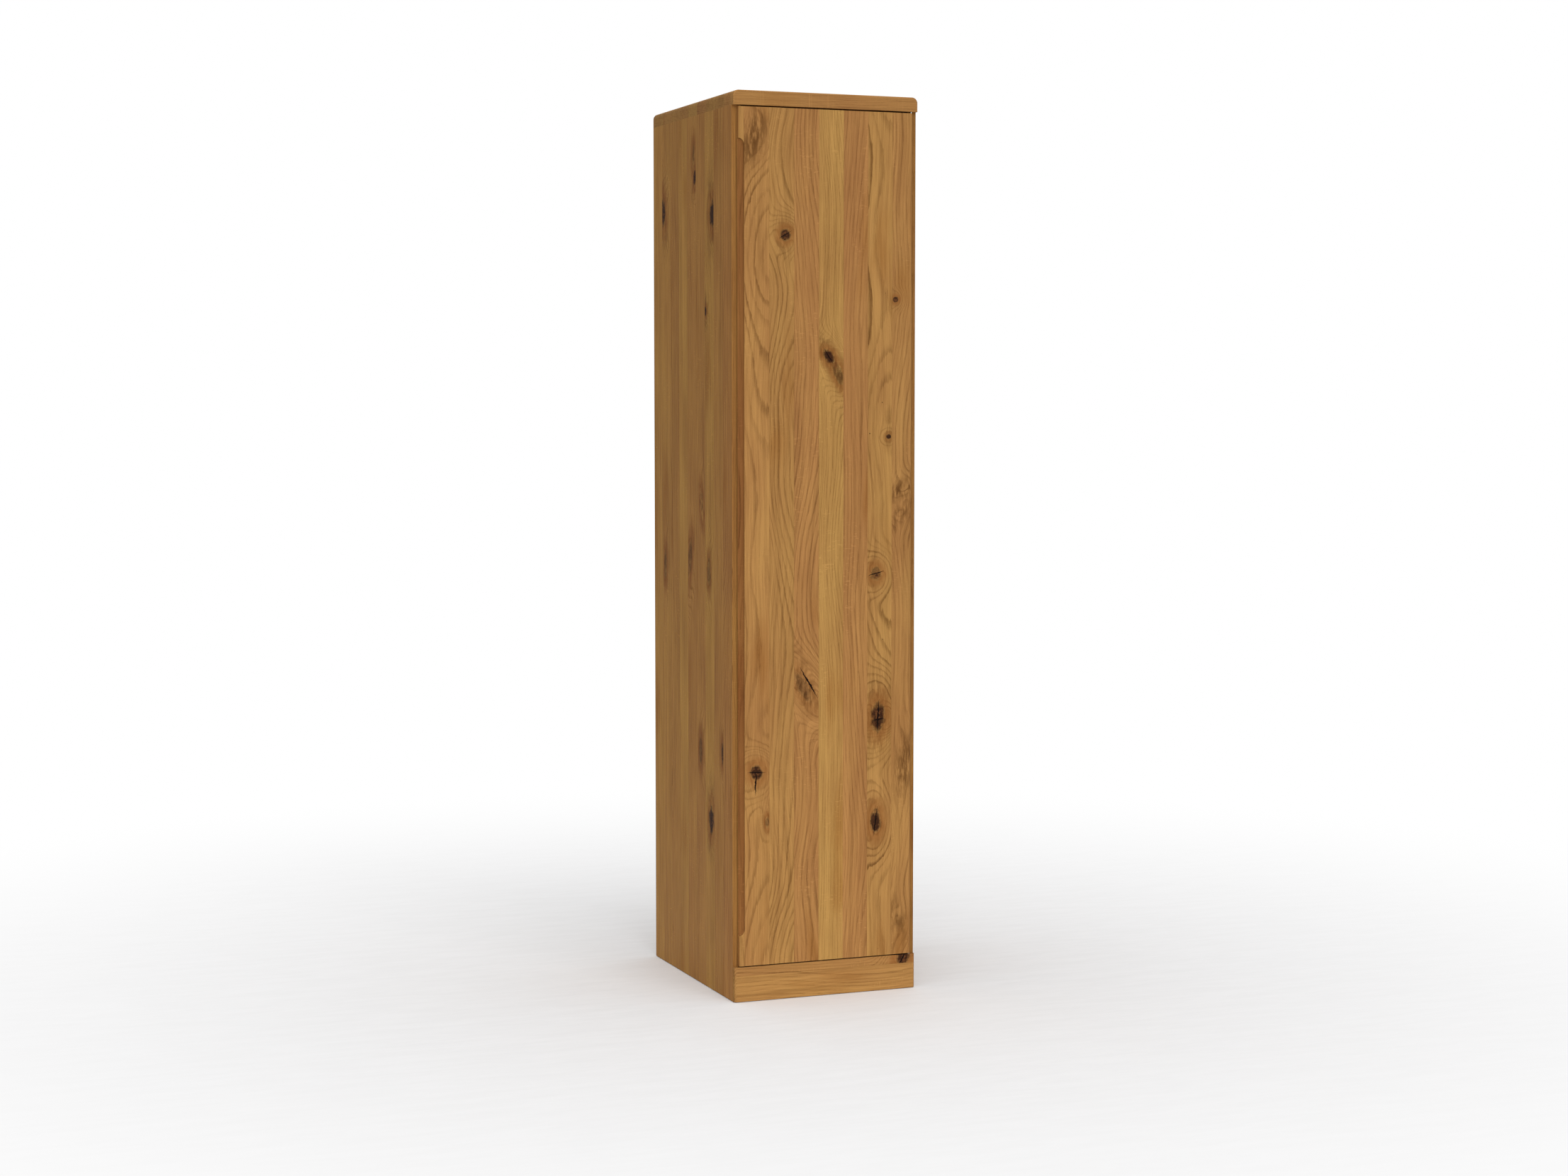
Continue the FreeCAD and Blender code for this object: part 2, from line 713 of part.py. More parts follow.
shelves = {}
peg_list = []
for bay_number in range(2):
    for third in (1, 2):
        shelf_name = f"shelf_{2 * bay_number + third}"
        row = f"round(({bay} * {third} / 3 - row_first) / row_pitch)"
        peg_z = f"(plinth_top + {bay_number} * ({bay} + board_thick) + row_first + {row} * row_pitch)"
        for x_name, inner, into, sign in (("l", inner_left, "+x", "-"), ("r", inner_right, "-x", "+")):
            for y_name, y_place in zip(("front", "rear"), peg_ys):
                tag = f"{shelf_name}_peg_{x_name}_{y_name}"
                shank = rod(f"{tag}_shank", (f"{inner} {sign} peg_deep", y_place, peg_z), into,
                            "peg_dia", "peg_deep + peg_out")
                head = rod(f"{tag}_head", (inner, y_place, peg_z), into, "peg_head", "peg_out")
                peg_list.append(joined(tag, [shank, head]))
        shelves[shelf_name] = block(
            shelf_name, (f"{inner_left} + shelf_side_gap", shelf_front, f"{peg_z} + peg_head / 2"),
            (f"{inner_wide} - 2 * shelf_side_gap", f"{back_front} - {shelf_front} - back_gap * 4",
             "shelf_thick"))
shelf_pegs = group("shelf_pegs", peg_list)

# ---- door battens ----

batten_levels = {
    "lower": f"({door_bottom} + batten_margin)",
    "middle": f"({door_bottom} + {door_high} / 2 - batten_high / 2)",
    "upper": f"({door_top} - batten_margin - batten_high)",
}
batten_screw_list = []
battens = {}
batten_wide = f"({door_wide} - 2 * {lip_wide} - 2 * batten_inset)"
for level_name, z_low in batten_levels.items():
    seats = []
    for number, share in enumerate((0.1, 0.5, 0.9)):
        seat = (f"{door_left} + {lip_wide} + batten_inset + {batten_wide} * {share}",
                f"{door_back} + batten_thick", f"{z_low} + batten_high / 2")
        seats.append(screw(f"batten_{level_name}_screw{number}", seat, "-y", "screw_long"))
    batten_screw_list += seats
    blank = block(f"batten_{level_name}_blank",
                  (f"{door_left} + {lip_wide} + batten_inset", door_back, z_low),
                  (batten_wide, "batten_thick", "batten_high"))
    name = f"door_batten_{level_name}"
    battens[name] = minus(name, blank, group(f"{name}_holes", seats))
batten_screws = group("batten_screws", batten_screw_list)

# ---- door panel ----

door_body = new_body("door_blank", (door_left, front, door_bottom))
door_plan = new_sketch(door_body, "door_plan", "XY_Plane")
draw_outline(door_plan, [
    ("0", "0"),
    (door_wide, "0"),
    (door_wide, door_lip),
    (f"{door_wide} - {lip_wide}", door_lip),
    (f"{door_wide} - {lip_wide}", "door_thick"),
    (lip_wide, "door_thick"),
    (lip_wide, door_lip),
    ("0", door_lip),
])
add_pad(door_body, door_plan, "door_pad", door_high)
add_fillet(door_body, "door_edges", f"min(door_round; {door_lip} - 0.4)",
           lambda edge, spot, box: runs_along(edge, "z") and near(spot.y, box.YMin))


def grip_profile(name, lift):
    """Half section of the finger recess: flat floor, cove and upright wall, from the door's edge."""
    sketch = new_sketch(door_body, name, "XY_Plane", lift)
    reach = dimensions["grip_radius"]
    deep = dimensions["grip_deep"]
    cove = dimensions["grip_cove"]
    edge = FreeCAD.Vector(0, 0, 0)
    brink = FreeCAD.Vector(reach, 0, 0)
    wall_end = FreeCAD.Vector(reach, deep - cove, 0)
    floor_start = FreeCAD.Vector(reach - cove, deep, 0)
    floor_end = FreeCAD.Vector(0, deep, 0)
    circle = Part.Circle(FreeCAD.Vector(reach - cove, deep - cove, 0), FreeCAD.Vector(0, 0, 1), cove)
    sketch.addGeometry(Part.LineSegment(edge, brink))
    sketch.addGeometry(Part.LineSegment(brink, wall_end))
    sketch.addGeometry(Part.ArcOfCircle(circle, 0, math.pi / 2))
    sketch.addGeometry(Part.LineSegment(floor_start, floor_end))
    sketch.addGeometry(Part.LineSegment(floor_end, edge))
    for first, first_end, second, second_end in ((0, 2, 1, 1), (1, 2, 2, 1), (2, 2, 3, 1), (3, 2, 4, 1),
                                                 (4, 2, 0, 1)):
        sketch.addConstraint(Sketcher.Constraint("Coincident", first, first_end, second, second_end))
    pin_point(sketch, 0, 1, ("0", "0"))
    pin_point(sketch, 1, 1, ("grip_radius", "0"))
    pin_point(sketch, 1, 2, ("grip_radius", "grip_deep - grip_cove"))
    pin_point(sketch, 2, 3, ("grip_radius - grip_cove", None))
    pin_point(sketch, 3, 1, ("grip_radius - grip_cove", "grip_deep"))
    pin_point(sketch, 3, 2, ("0", "grip_deep"))
    return sketch


grip_low = "(grip_margin + grip_radius)"
grip_run = grip_profile("grip_run_sketch", grip_low)
add_pocket(door_body, grip_run, "grip_run", f"{door_high} - 2 * {grip_low}", True)
for end_name, lift in (("lower", grip_low), ("upper", f"{door_high} - {grip_low}")):
    before = door_body.Shape.Volume
    profile = grip_profile(f"grip_end_{end_name}_sketch", lift)
    groove = door_body.newObject("PartDesign::Groove", f"grip_end_{end_name}")
    groove.Profile = profile
    groove.ReferenceAxis = (profile, ["V_Axis"])
    groove.Angle = 360
    doc.recompute()
    if door_body.Shape.Volume >= before:
        raise RuntimeError(f"grip_end_{end_name} cut nothing")
door_panel = minus("door_panel", door_body, door_mortises, door_leaf_screws, pin_slacks,
                   batten_screws, strike_screw)

# ---- bumpers on the back of the door's lip ----

bumper_x = f"({door_left} + {lip_wide} / 2)"
door_bumpers = group("door_bumpers", [
    rod(f"bumper_{name}", (bumper_x, f"{front} + {door_lip}", z_place), "+y", "bumper_dia",
        "lip_gap - bumper_gap")
    for name, z_place in (("lower", f"{door_bottom} + bumper_margin"),
                          ("upper", f"{door_top} - bumper_margin"))
])

doc.recompute()

nodes = {
    "top_board": top_board,
    "side_panel_left": side_panel_left,
    "side_panel_right": side_panel_right,
    "bottom_panel": bottom_panel,
    "fixed_shelf": fixed_shelf,
    "plinth_board": plinth_board,
    "rear_plinth_rail": rear_plinth_rail,
    "corner_blocks": corner_blocks,
    "door_stop_rail": door_stop_rail,
    "catch_housing": catch_housing,
    "catch_magnet": catch_magnet,
    "catch_screws": catch_screws,
    "strike_plate": strike_plate,
    "strike_screw": strike_screw,
    "shelf_pegs": shelf_pegs,
    "cam_locks": cam_locks,
    "cam_bolts": cam_bolts,
    "dowels": dowels_node,
    "back_panel_screws": back_panel_screws,
    "wall_bracket": wall_bracket,
    "bracket_screws": bracket_screws,
    "glide_pads": glide_pads,
    "pivot_pins": pivot_pins,
    "thrust_washer": thrust_washer,
    "carcase_leaf_screws": carcase_leaf_screws,
    "door_leaf_screws": door_leaf_screws,
    "batten_screws": batten_screws,
    "door_panel": door_panel,
    "door_bumpers": door_bumpers,
    **leaves,
    **back_panels,
    **shelves,
    **battens,
}

for thing in doc.Objects:
    if "Invalid" in thing.State or "Error" in thing.State:
        raise RuntimeError(f"{thing.Name} failed: {thing.State}")
for name, node in nodes.items():
    node.Label = name
    if node.Shape.isNull() or not node.Shape.isValid() or not node.Shape.Solids:
        raise RuntimeError(f"{name} has no valid solid")

os.makedirs("parts", exist_ok=True)
for name, node in nodes.items():
    node.Shape.exportStep(f"parts/{name}.step")
    box = node.Shape.BoundBox
    size = f"{box.XLength:.1f} x {box.YLength:.1f} x {box.ZLength:.1f}"
    print(f"{name}: {len(node.Shape.Solids)} solids, {size}")
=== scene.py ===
import json
import math

import bmesh
import bpy
from mathutils import Matrix, Vector


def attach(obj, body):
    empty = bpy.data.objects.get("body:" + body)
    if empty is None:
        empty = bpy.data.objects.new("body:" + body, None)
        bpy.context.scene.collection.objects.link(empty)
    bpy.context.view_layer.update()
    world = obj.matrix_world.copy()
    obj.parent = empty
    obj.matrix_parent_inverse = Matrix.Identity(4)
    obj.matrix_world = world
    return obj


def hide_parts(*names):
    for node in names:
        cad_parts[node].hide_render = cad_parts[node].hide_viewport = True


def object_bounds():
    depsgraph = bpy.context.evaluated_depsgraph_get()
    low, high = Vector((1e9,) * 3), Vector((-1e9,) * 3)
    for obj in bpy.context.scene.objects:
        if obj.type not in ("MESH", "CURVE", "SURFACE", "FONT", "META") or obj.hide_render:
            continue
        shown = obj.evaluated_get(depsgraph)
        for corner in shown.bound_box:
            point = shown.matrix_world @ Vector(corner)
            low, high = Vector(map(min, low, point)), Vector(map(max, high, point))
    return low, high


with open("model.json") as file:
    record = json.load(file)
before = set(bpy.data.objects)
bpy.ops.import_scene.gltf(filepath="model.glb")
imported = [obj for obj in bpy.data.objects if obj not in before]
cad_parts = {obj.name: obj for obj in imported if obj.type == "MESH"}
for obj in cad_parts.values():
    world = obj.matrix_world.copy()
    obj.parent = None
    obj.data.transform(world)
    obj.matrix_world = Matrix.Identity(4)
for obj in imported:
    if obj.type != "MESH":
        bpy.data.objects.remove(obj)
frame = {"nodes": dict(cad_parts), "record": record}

cadLow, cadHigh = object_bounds()
nodes = frame["nodes"]
bodyOf = {node: body for body, members in frame["record"]["behaviour"]["bodies"].items() for node in members}
slotOf = {part["node"]: part["material_slot"] for part in frame["record"]["subparts"]}
axisNumber = {"x": 0, "y": 1, "z": 2}


def paint(red, green, blue):
    # screen values 0 to 255 as a linear colour
    def linear(value):
        value /= 255
        return value / 12.92 if value <= 0.04045 else ((value + 0.055) / 1.055) ** 2.4
    return (linear(red), linear(green), linear(blue), 1.0)


class Desk:
    def __init__(self, tree):
        self.tree = tree

    def add(self, kind, **settings):
        node = self.tree.nodes.new(kind)
        for name, value in settings.items():
            setattr(node, name, value)
        return node

    def plug(self, value, socket):
        if isinstance(value, bpy.types.NodeSocket):
            self.tree.links.new(value, socket)
        else:
            socket.default_value = value

    def fill(self, node, values, output=0):
        for value, socket in zip(values, node.inputs):
            self.plug(value, socket)
        return node.outputs[output]

    def math(self, operation, *values, clamp=False):
        return self.fill(self.add("ShaderNodeMath", operation=operation, use_clamp=clamp), values)

    def times(self, first, second):
        return self.math("MULTIPLY", first, second)

    def ramp(self, value, low, high, start=0.0, end=1.0):
        node = self.add("ShaderNodeMapRange", interpolation_type="SMOOTHSTEP")
        return self.fill(node, (value, low, high, start, end))

    def combine(self, x, y, z):
        return self.fill(self.add("ShaderNodeCombineXYZ"), (x, y, z))

    def split(self, vector):
        node = self.add("ShaderNodeSeparateXYZ")
        self.plug(vector, node.inputs[0])
        return node.outputs

    def noise(self, vector, scale=1.0, detail=2.0, roughness=0.5):
        node = self.add("ShaderNodeTexNoise")
        settings = {"Vector": vector, "Scale": scale, "Detail": detail, "Roughness": roughness}
        for name, value in settings.items():
            self.plug(value, node.inputs[name])
        return node.outputs["Fac"]

    def blend(self, factor, first, second, how="MIX"):
        node = self.add("ShaderNodeMix", data_type="RGBA", blend_type=how, clamp_factor=True)
        for name, value in (("Factor_Float", factor), ("A_Color", first), ("B_Color", second)):
            self.plug(value, next(socket for socket in node.inputs if socket.identifier == name))
        return next(socket for socket in node.outputs if socket.identifier == "Result_Color")


def newGroup(name, inputs, outputs):
    tree = bpy.data.node_groups.new(name, "ShaderNodeTree")
    for direction, sockets in (("INPUT", inputs), ("OUTPUT", outputs)):
        for label, kind in sockets:
            tree.interface.new_socket(name=label, in_out=direction, socket_type=f"NodeSocket{kind}")
    desk = Desk(tree)
    return tree, desk, desk.add("NodeGroupInput").outputs, desk.add("NodeGroupOutput").inputs


oak = {
    "ringPitch": 0.0036,
    "lightYellow": paint(187, 143, 80),
    "deepYellow": paint(116, 80, 37),
    "lightPink": paint(186, 132, 78),
    "deepPink": paint(108, 66, 33),
    "amber": paint(140, 86, 33),
    "knotCore": paint(46, 23, 15),
    "knotHeart": paint(98, 60, 34),
    "knotRim": paint(136, 80, 36),
    "knotStain": paint(96, 60, 26),
    "split": paint(20, 10, 7),
    "bump": 0.00022,
    "poreDark": 0.36,
    "jointDark": 0.16,
    "rayLight": 0.34,
    "fibreShare": 0.75,
    "cloudShare": 0.55,
    "endGrainDark": 0.20,
    "gloss": 0.46,
}
# how fast each pattern changes along, across and through the fibres, then its detail and roughness
oakGrain = {
    "wander": (5.0, 22.0, 1.0, 1.0, 0.5),
    "ragged": (26.0, 260.0, 1.0, 2.0, 0.5),
    "fading": (3.0, 30.0, 1.0, 2.0, 0.5),
    "streak": (1.8, 130.0, 130.0, 4.0, 0.66),
    "fibre": (13.0, 520.0, 520.0, 3.0, 0.6),
    "cloud": (4.0, 15.0, 1.0, 3.0, 0.5),
    "pit": (100.0, 2200.0, 2200.0, 1.0, 0.5),
    "fleck": (260.0, 75.0, 1.0, 1.0, 0.5),
    "patch": (6.0, 12.0, 1.0, 2.0, 0.5),
}


def buildOakStaves():
    # which glued stave a point is in, where it is on it, and that stave's own dice
    tree, desk, given, wanted = newGroup(
        "oakStaves",
        [("Across", "Float"), ("Width", "Float"), ("Shift", "Float"), ("Seed", "Float")],
        [("Number", "Float"), ("Local", "Float"), ("Joint", "Float"), ("Dice", "Vector"),
         ("Traits", "Color")])
    shifted = desk.math("ADD", given["Across"], given["Shift"])
    number = desk.math("FLOOR", desk.math("DIVIDE", shifted, given["Width"]))
    middle = desk.times(desk.math("ADD", number, 0.5), given["Width"])
    local = desk.math("SUBTRACT", shifted, middle)
    for output, salt in (("Dice", 0.37), ("Traits", 5.91)):
        dice = desk.add("ShaderNodeTexWhiteNoise", noise_dimensions="3D")
        desk.plug(desk.combine(number, given["Seed"], salt), dice.inputs["Vector"])
        desk.plug(dice.outputs["Color"], wanted[output])
    edge = desk.math("SUBTRACT", desk.times(given["Width"], 0.5), desk.math("ABSOLUTE", local))
    desk.plug(number, wanted["Number"])
    desk.plug(local, wanted["Local"])
    desk.plug(desk.math("SUBTRACT", 1.0, desk.ramp(edge, 0.0, 0.0006)), wanted["Joint"])
    return tree


def buildOakFigure():
    # one stave's rings, pores, rays and slow colour
    tree, desk, given, wanted = newGroup(
        "oakFigure",
        [("Along", "Float"), ("Across", "Float"), ("Through", "Float"), ("Dice", "Vector"),
         ("Tone", "Float"), ("Warmth", "Float"), ("Figure", "Float"), ("Lean", "Float"),
         ("Joint", "Float"), ("Curl", "Float")],
        [("Colour", "Color"), ("Height", "Float"), ("Rings", "Float")])
    first, second, third = desk.split(given["Dice"])
    slide = desk.math("MULTIPLY_ADD", first, 9.0, given["Along"])
    deep = desk.math("MULTIPLY_ADD", third, 3.0, given["Through"])

    def pattern(name, side):
        alongScale, acrossScale, throughScale, detail, roughness = oakGrain[name]
        spot = desk.combine(desk.times(slide, alongScale), desk.times(side, acrossScale),
                            desk.times(deep, throughScale))
        return desk.noise(spot, detail=detail, roughness=roughness)

    # the fibres wander and lean
    sway = desk.noise(desk.combine(desk.times(slide, 1.7), desk.times(second, 7.0), 0.4), detail=1.0)
    swayed = desk.math("MULTIPLY_ADD", given["Lean"], 0.17, 0.018)
    bent = desk.math("MULTIPLY_ADD", desk.math("SUBTRACT", sway, 0.5), swayed, given["Across"])
    wander = pattern("wander", bent)
    bent = desk.math("MULTIPLY_ADD", desk.math("SUBTRACT", wander, 0.5), 0.007, bent)

    # growth rings round a pith: far to the side on plain staves, close behind on figured ones
    plain = desk.math("SUBTRACT", 1.0, given["Figure"])
    pithSide = desk.math("MULTIPLY_ADD", plain, 0.15, desk.math("MULTIPLY_ADD", second, 0.05, -0.025))
    drift = desk.noise(desk.combine(desk.times(slide, 1.5), desk.times(third, 9.0), 0.2), detail=1.0)
    pithDeep = desk.math("MULTIPLY_ADD", drift, 0.065, -0.010)
    sideways = desk.math("SUBTRACT", bent, pithSide)
    inward = desk.math("ADD", given["Through"], pithDeep)
    radius = desk.math("SQRT", desk.math("ADD", desk.times(sideways, sideways), desk.times(inward, inward)))
    radius = desk.math("ADD", radius, given["Curl"])
    uneven = desk.noise(desk.combine(desk.times(radius, 95.0), second, third), detail=1.0)
    ragged = pattern("ragged", bent)
    phase = desk.math("MULTIPLY_ADD", uneven, 1.6, desk.math("DIVIDE", radius, oak["ringPitch"]))
    phase = desk.math("MULTIPLY_ADD", ragged, 0.42, phase)
    ring = desk.math("FRACT", phase)
    line = desk.math("SUBTRACT", 1.0, desk.ramp(ring, 0.04, 0.40))
    line = desk.math("MAXIMUM", line, desk.ramp(ring, 0.90, 1.0))
    choice = desk.add("ShaderNodeTexWhiteNoise", noise_dimensions="2D")
    desk.plug(desk.combine(desk.math("ROUND", phase), first, 0.0), choice.inputs["Vector"])
    weight = desk.math("MULTIPLY_ADD", choice.outputs["Value"], 0.65, 0.35)
    fading = pattern("fading", bent)
    line = desk.times(desk.times(line, weight), desk.ramp(fading, 0.25, 0.62, 0.35, 1.0))

    # streaks, fibres, open pores and ray flecks
    streak = pattern("streak", bent)
    fibre = pattern("fibre", bent)
    cloud = pattern("cloud", bent)
    pit = pattern("pit", bent)
    pores = desk.times(desk.ramp(pit, 0.58, 0.70), desk.math("MULTIPLY_ADD", line, 0.8, 0.2))
    fleck = pattern("fleck", bent)
    patch = pattern("patch", bent)
    rays = desk.times(desk.ramp(fleck, 0.60, 0.72), desk.ramp(patch, 0.48, 0.66))
    rays = desk.times(rays, plain)

    strength = desk.math("MULTIPLY_ADD", given["Figure"], 0.42, 0.24)
    dark = desk.math("MULTIPLY_ADD", line, strength, 0.22)
    dark = desk.math("MULTIPLY_ADD", desk.math("SUBTRACT", streak, 0.5), 1.0, dark)
    dark = desk.math("MULTIPLY_ADD", desk.math("SUBTRACT", fibre, 0.5), oak["fibreShare"], dark)
    dark = desk.math("MULTIPLY_ADD", desk.math("SUBTRACT", cloud, 0.5), oak["cloudShare"], dark)
    dark = desk.math("MULTIPLY_ADD", rays, -oak["rayLight"], dark, clamp=True)
    yellow = desk.blend(dark, oak["lightYellow"], oak["deepYellow"])
    pink = desk.blend(dark, oak["lightPink"], oak["deepPink"])
    warm = desk.math("MULTIPLY_ADD", desk.math("SUBTRACT", cloud, 0.5), 0.9, given["Warmth"], clamp=True)
    colour = desk.blend(warm, yellow, pink)
    soft = desk.noise(desk.combine(desk.times(slide, 3.1), desk.times(bent, 13.0), 0.7), detail=2.0)
    colour = desk.blend(desk.ramp(soft, 0.56, 0.80, 0.0, 0.55), colour, oak["amber"])
    value = desk.math("MULTIPLY_ADD", given["Tone"], 0.26, 0.84)
    value = desk.times(value, desk.math("MULTIPLY_ADD", pores, -oak["poreDark"], 1.0))
    value = desk.times(value, desk.math("MULTIPLY_ADD", given["Joint"], -oak["jointDark"], 1.0))
    desk.plug(desk.blend(1.0, colour, desk.combine(value, value, value), "MULTIPLY"), wanted["Colour"])
    height = desk.math("MULTIPLY_ADD", pores, -0.7, desk.times(fibre, 0.35))
    height = desk.math("MULTIPLY_ADD", line, -0.2, height)
    desk.plug(desk.math("MULTIPLY_ADD", given["Joint"], -0.35, height), wanted["Height"])
    desk.plug(line, wanted["Rings"])
    return tree


def buildOakRough():
    # unevenness that every knot on a board shares, so that it is worked out once
    tree, desk, given, wanted = newGroup(
        "oakRough", [("Along", "Float"), ("Across", "Float"), ("Through", "Float")],
        [("Wobble", "Float"), ("Streaks", "Float"), ("Heart", "Float"), ("Crooked", "Float"),
         ("Holes", "Float")])
    along, across, through = given["Along"], given["Across"], given["Through"]

    def stretched(alongScale, acrossScale, detail):
        place = desk.combine(desk.times(along, alongScale), desk.times(across, acrossScale),
                             desk.times(through, acrossScale))
        return desk.noise(place, detail=detail, roughness=0.6)

    desk.plug(desk.math("SUBTRACT", stretched(70.0, 80.0, 3.0), 0.5), wanted["Wobble"])
    desk.plug(desk.ramp(stretched(32.0, 140.0, 4.0), 0.34, 0.62), wanted["Streaks"])
    desk.plug(desk.ramp(stretched(170.0, 170.0, 2.0), 0.45, 0.65), wanted["Heart"])
    desk.plug(desk.math("SUBTRACT", stretched(95.0, 40.0, 2.0), 0.5), wanted["Crooked"])
    cells = desk.add("ShaderNodeTexVoronoi", feature="F1")
    desk.plug(desk.combine(desk.times(along, 26.0), desk.times(across, 34.0), 0.5),
              cells.inputs["Vector"])
    desk.plug(1.0, cells.inputs["Scale"])
    chance = desk.split(cells.outputs["Color"])[0]
    hole = desk.ramp(cells.outputs["Distance"], 0.050, 0.028)
    desk.plug(desk.times(hole, desk.math("GREATER_THAN", chance, 0.72)), wanted["Holes"])
    return tree


def buildOakKnot():
    # one knot: dark core, orange rim, brown stain along the grain, and a split
    tree, desk, given, wanted = newGroup(
        "oakKnot",
        [("Along", "Float"), ("Across", "Float"), ("Number", "Float"), ("Wobble", "Float"),
         ("Crooked", "Float"), ("At Along", "Float"), ("At Across", "Float"), ("At Number", "Float"),
         ("Size", "Float"), ("Stretch", "Float"), ("Lean", "Float"), ("Split Turn", "Float")],
        [("Core", "Float"), ("Inside", "Float"), ("Rim", "Float"), ("Stain", "Float"), ("Split", "Float"),
         ("Push", "Float"), ("Curl", "Float")])
    same = desk.math("COMPARE", given["Number"], given["At Number"], 0.5)
    rise = desk.math("SUBTRACT", given["Along"], given["At Along"])
    side = desk.math("SUBTRACT", given["Across"], given["At Across"])

    def turned(angle):
        cosine = desk.math("COSINE", angle)
        sine = desk.math("SINE", angle)
        up = desk.math("ADD", desk.times(rise, cosine), desk.times(side, sine))
        out = desk.math("SUBTRACT", desk.times(side, cosine), desk.times(rise, sine))
        return desk.math("DIVIDE", up, given["Size"]), desk.math("DIVIDE", out, given["Size"])

    def falling(distance, rate):
        squared = desk.times(distance, distance)
        return desk.math("POWER", 2.718, desk.times(squared, -rate))

    up, out = turned(given["Lean"])
    flat = desk.math("DIVIDE", up, given["Stretch"])
    plain = desk.math("SQRT", desk.math("ADD", desk.times(flat, flat), desk.times(out, out)))
    distance = desk.math("MULTIPLY_ADD", given["Wobble"], 0.95, plain)
    core = desk.math("SUBTRACT", 1.0, desk.ramp(distance, 0.55, 1.05))
    inside = desk.ramp(distance, 0.85, 0.4)
    rim = desk.times(desk.ramp(distance, 0.7, 1.1), desk.ramp(distance, 2.4, 1.05))
    stain = desk.times(desk.ramp(desk.math("ABSOLUTE", out), 2.6, 0.2),
                       desk.ramp(desk.math("ABSOLUTE", up), 7.0, 0.8))
    upTurned, outTurned = turned(given["Split Turn"])
    line = desk.math("ABSOLUTE", desk.math("MULTIPLY_ADD", given["Crooked"], 0.35, outTurned))
    reach = desk.math("DIVIDE", desk.math("ABSOLUTE", upTurned), desk.times(given["Stretch"], 1.3))
    width = desk.ramp(reach, 1.0, 0.1, 0.0, 0.085)
    split = desk.ramp(desk.math("SUBTRACT", line, width), 0.04, -0.03)
    split = desk.times(split, desk.math("GREATER_THAN", width, 0.004))
    push = desk.times(desk.times(side, falling(plain, 0.10)), -0.80)
    curl = desk.times(desk.times(plain, falling(plain, 0.22)), given["Size"])
    for name, value in (("Core", core), ("Inside", inside), ("Rim", rim), ("Stain", stain), ("Split", split),
                        ("Push", push), ("Curl", curl)):
        desk.plug(desk.times(value, same), wanted[name])
    return tree


oakStaves = buildOakStaves()
oakFigure = buildOakFigure()
oakRough = buildOakRough()
oakKnot = buildOakKnot()


def newMaterial(name):
    material = bpy.data.materials.new(name)
    material.use_nodes = True
    desk = Desk(material.node_tree)
    shader = material.node_tree.nodes["Principled BSDF"]
    return material, desk, shader


def placeGroup(desk, group, values):
    node = desk.add("ShaderNodeGroup", node_tree=group)
    for label, value in values.items():
        desk.plug(value, node.inputs[label])
    return node.outputs


def traitRamp(desk, number, traits):
    # the chosen traits of each stave, counted from the first
    ramp = desk.add("ShaderNodeValToRGB")
    ramp.color_ramp.interpolation = "CONSTANT"
    stops = ramp.color_ramp.elements
    for index, trait in enumerate(traits):
        place = index / len(traits)
        stop = stops[index] if index < 2 else stops.new(place)
        stop.position = place
        stop.color = trait
    desk.plug(desk.math("DIVIDE", desk.math("ADD", number, 0.5), float(len(traits))), ramp.inputs["Fac"])
    return desk.split(ramp.outputs["Color"]), ramp.outputs["Alpha"]


def gatherKnots(desk, along, across, number, rough, knots, width, shift):
    sums = {}
    for knot in knots:
        outputs = placeGroup(desk, oakKnot, {
            "Along": along, "Across": across, "Number": number, "Wobble": rough["Wobble"],
            "Crooked": rough["Crooked"], "At Along": knot["at"][0], "At Across": knot["at"][1],
            "At Number": float(math.floor((knot["at"][1] + shift) / width)), "Size": knot["size"],
            "Stretch": knot.get("stretch", 1.2), "Lean": math.radians(knot.get("lean", 0)),
            "Split Turn": math.radians(knot.get("turn", 0))})
        for label in ("Core", "Inside", "Rim", "Stain", "Split", "Push", "Curl"):
            share = knot.get(label.lower(), 1.0)
            if share == 0:
                continue
            output = outputs[label]
            if share != 1.0:
                output = desk.times(output, share)
            if label not in sums:
                sums[label] = output
            else:
                how = "ADD" if label in ("Push", "Curl") else "MAXIMUM"
                sums[label] = desk.math(how, sums[label], output)
    return sums


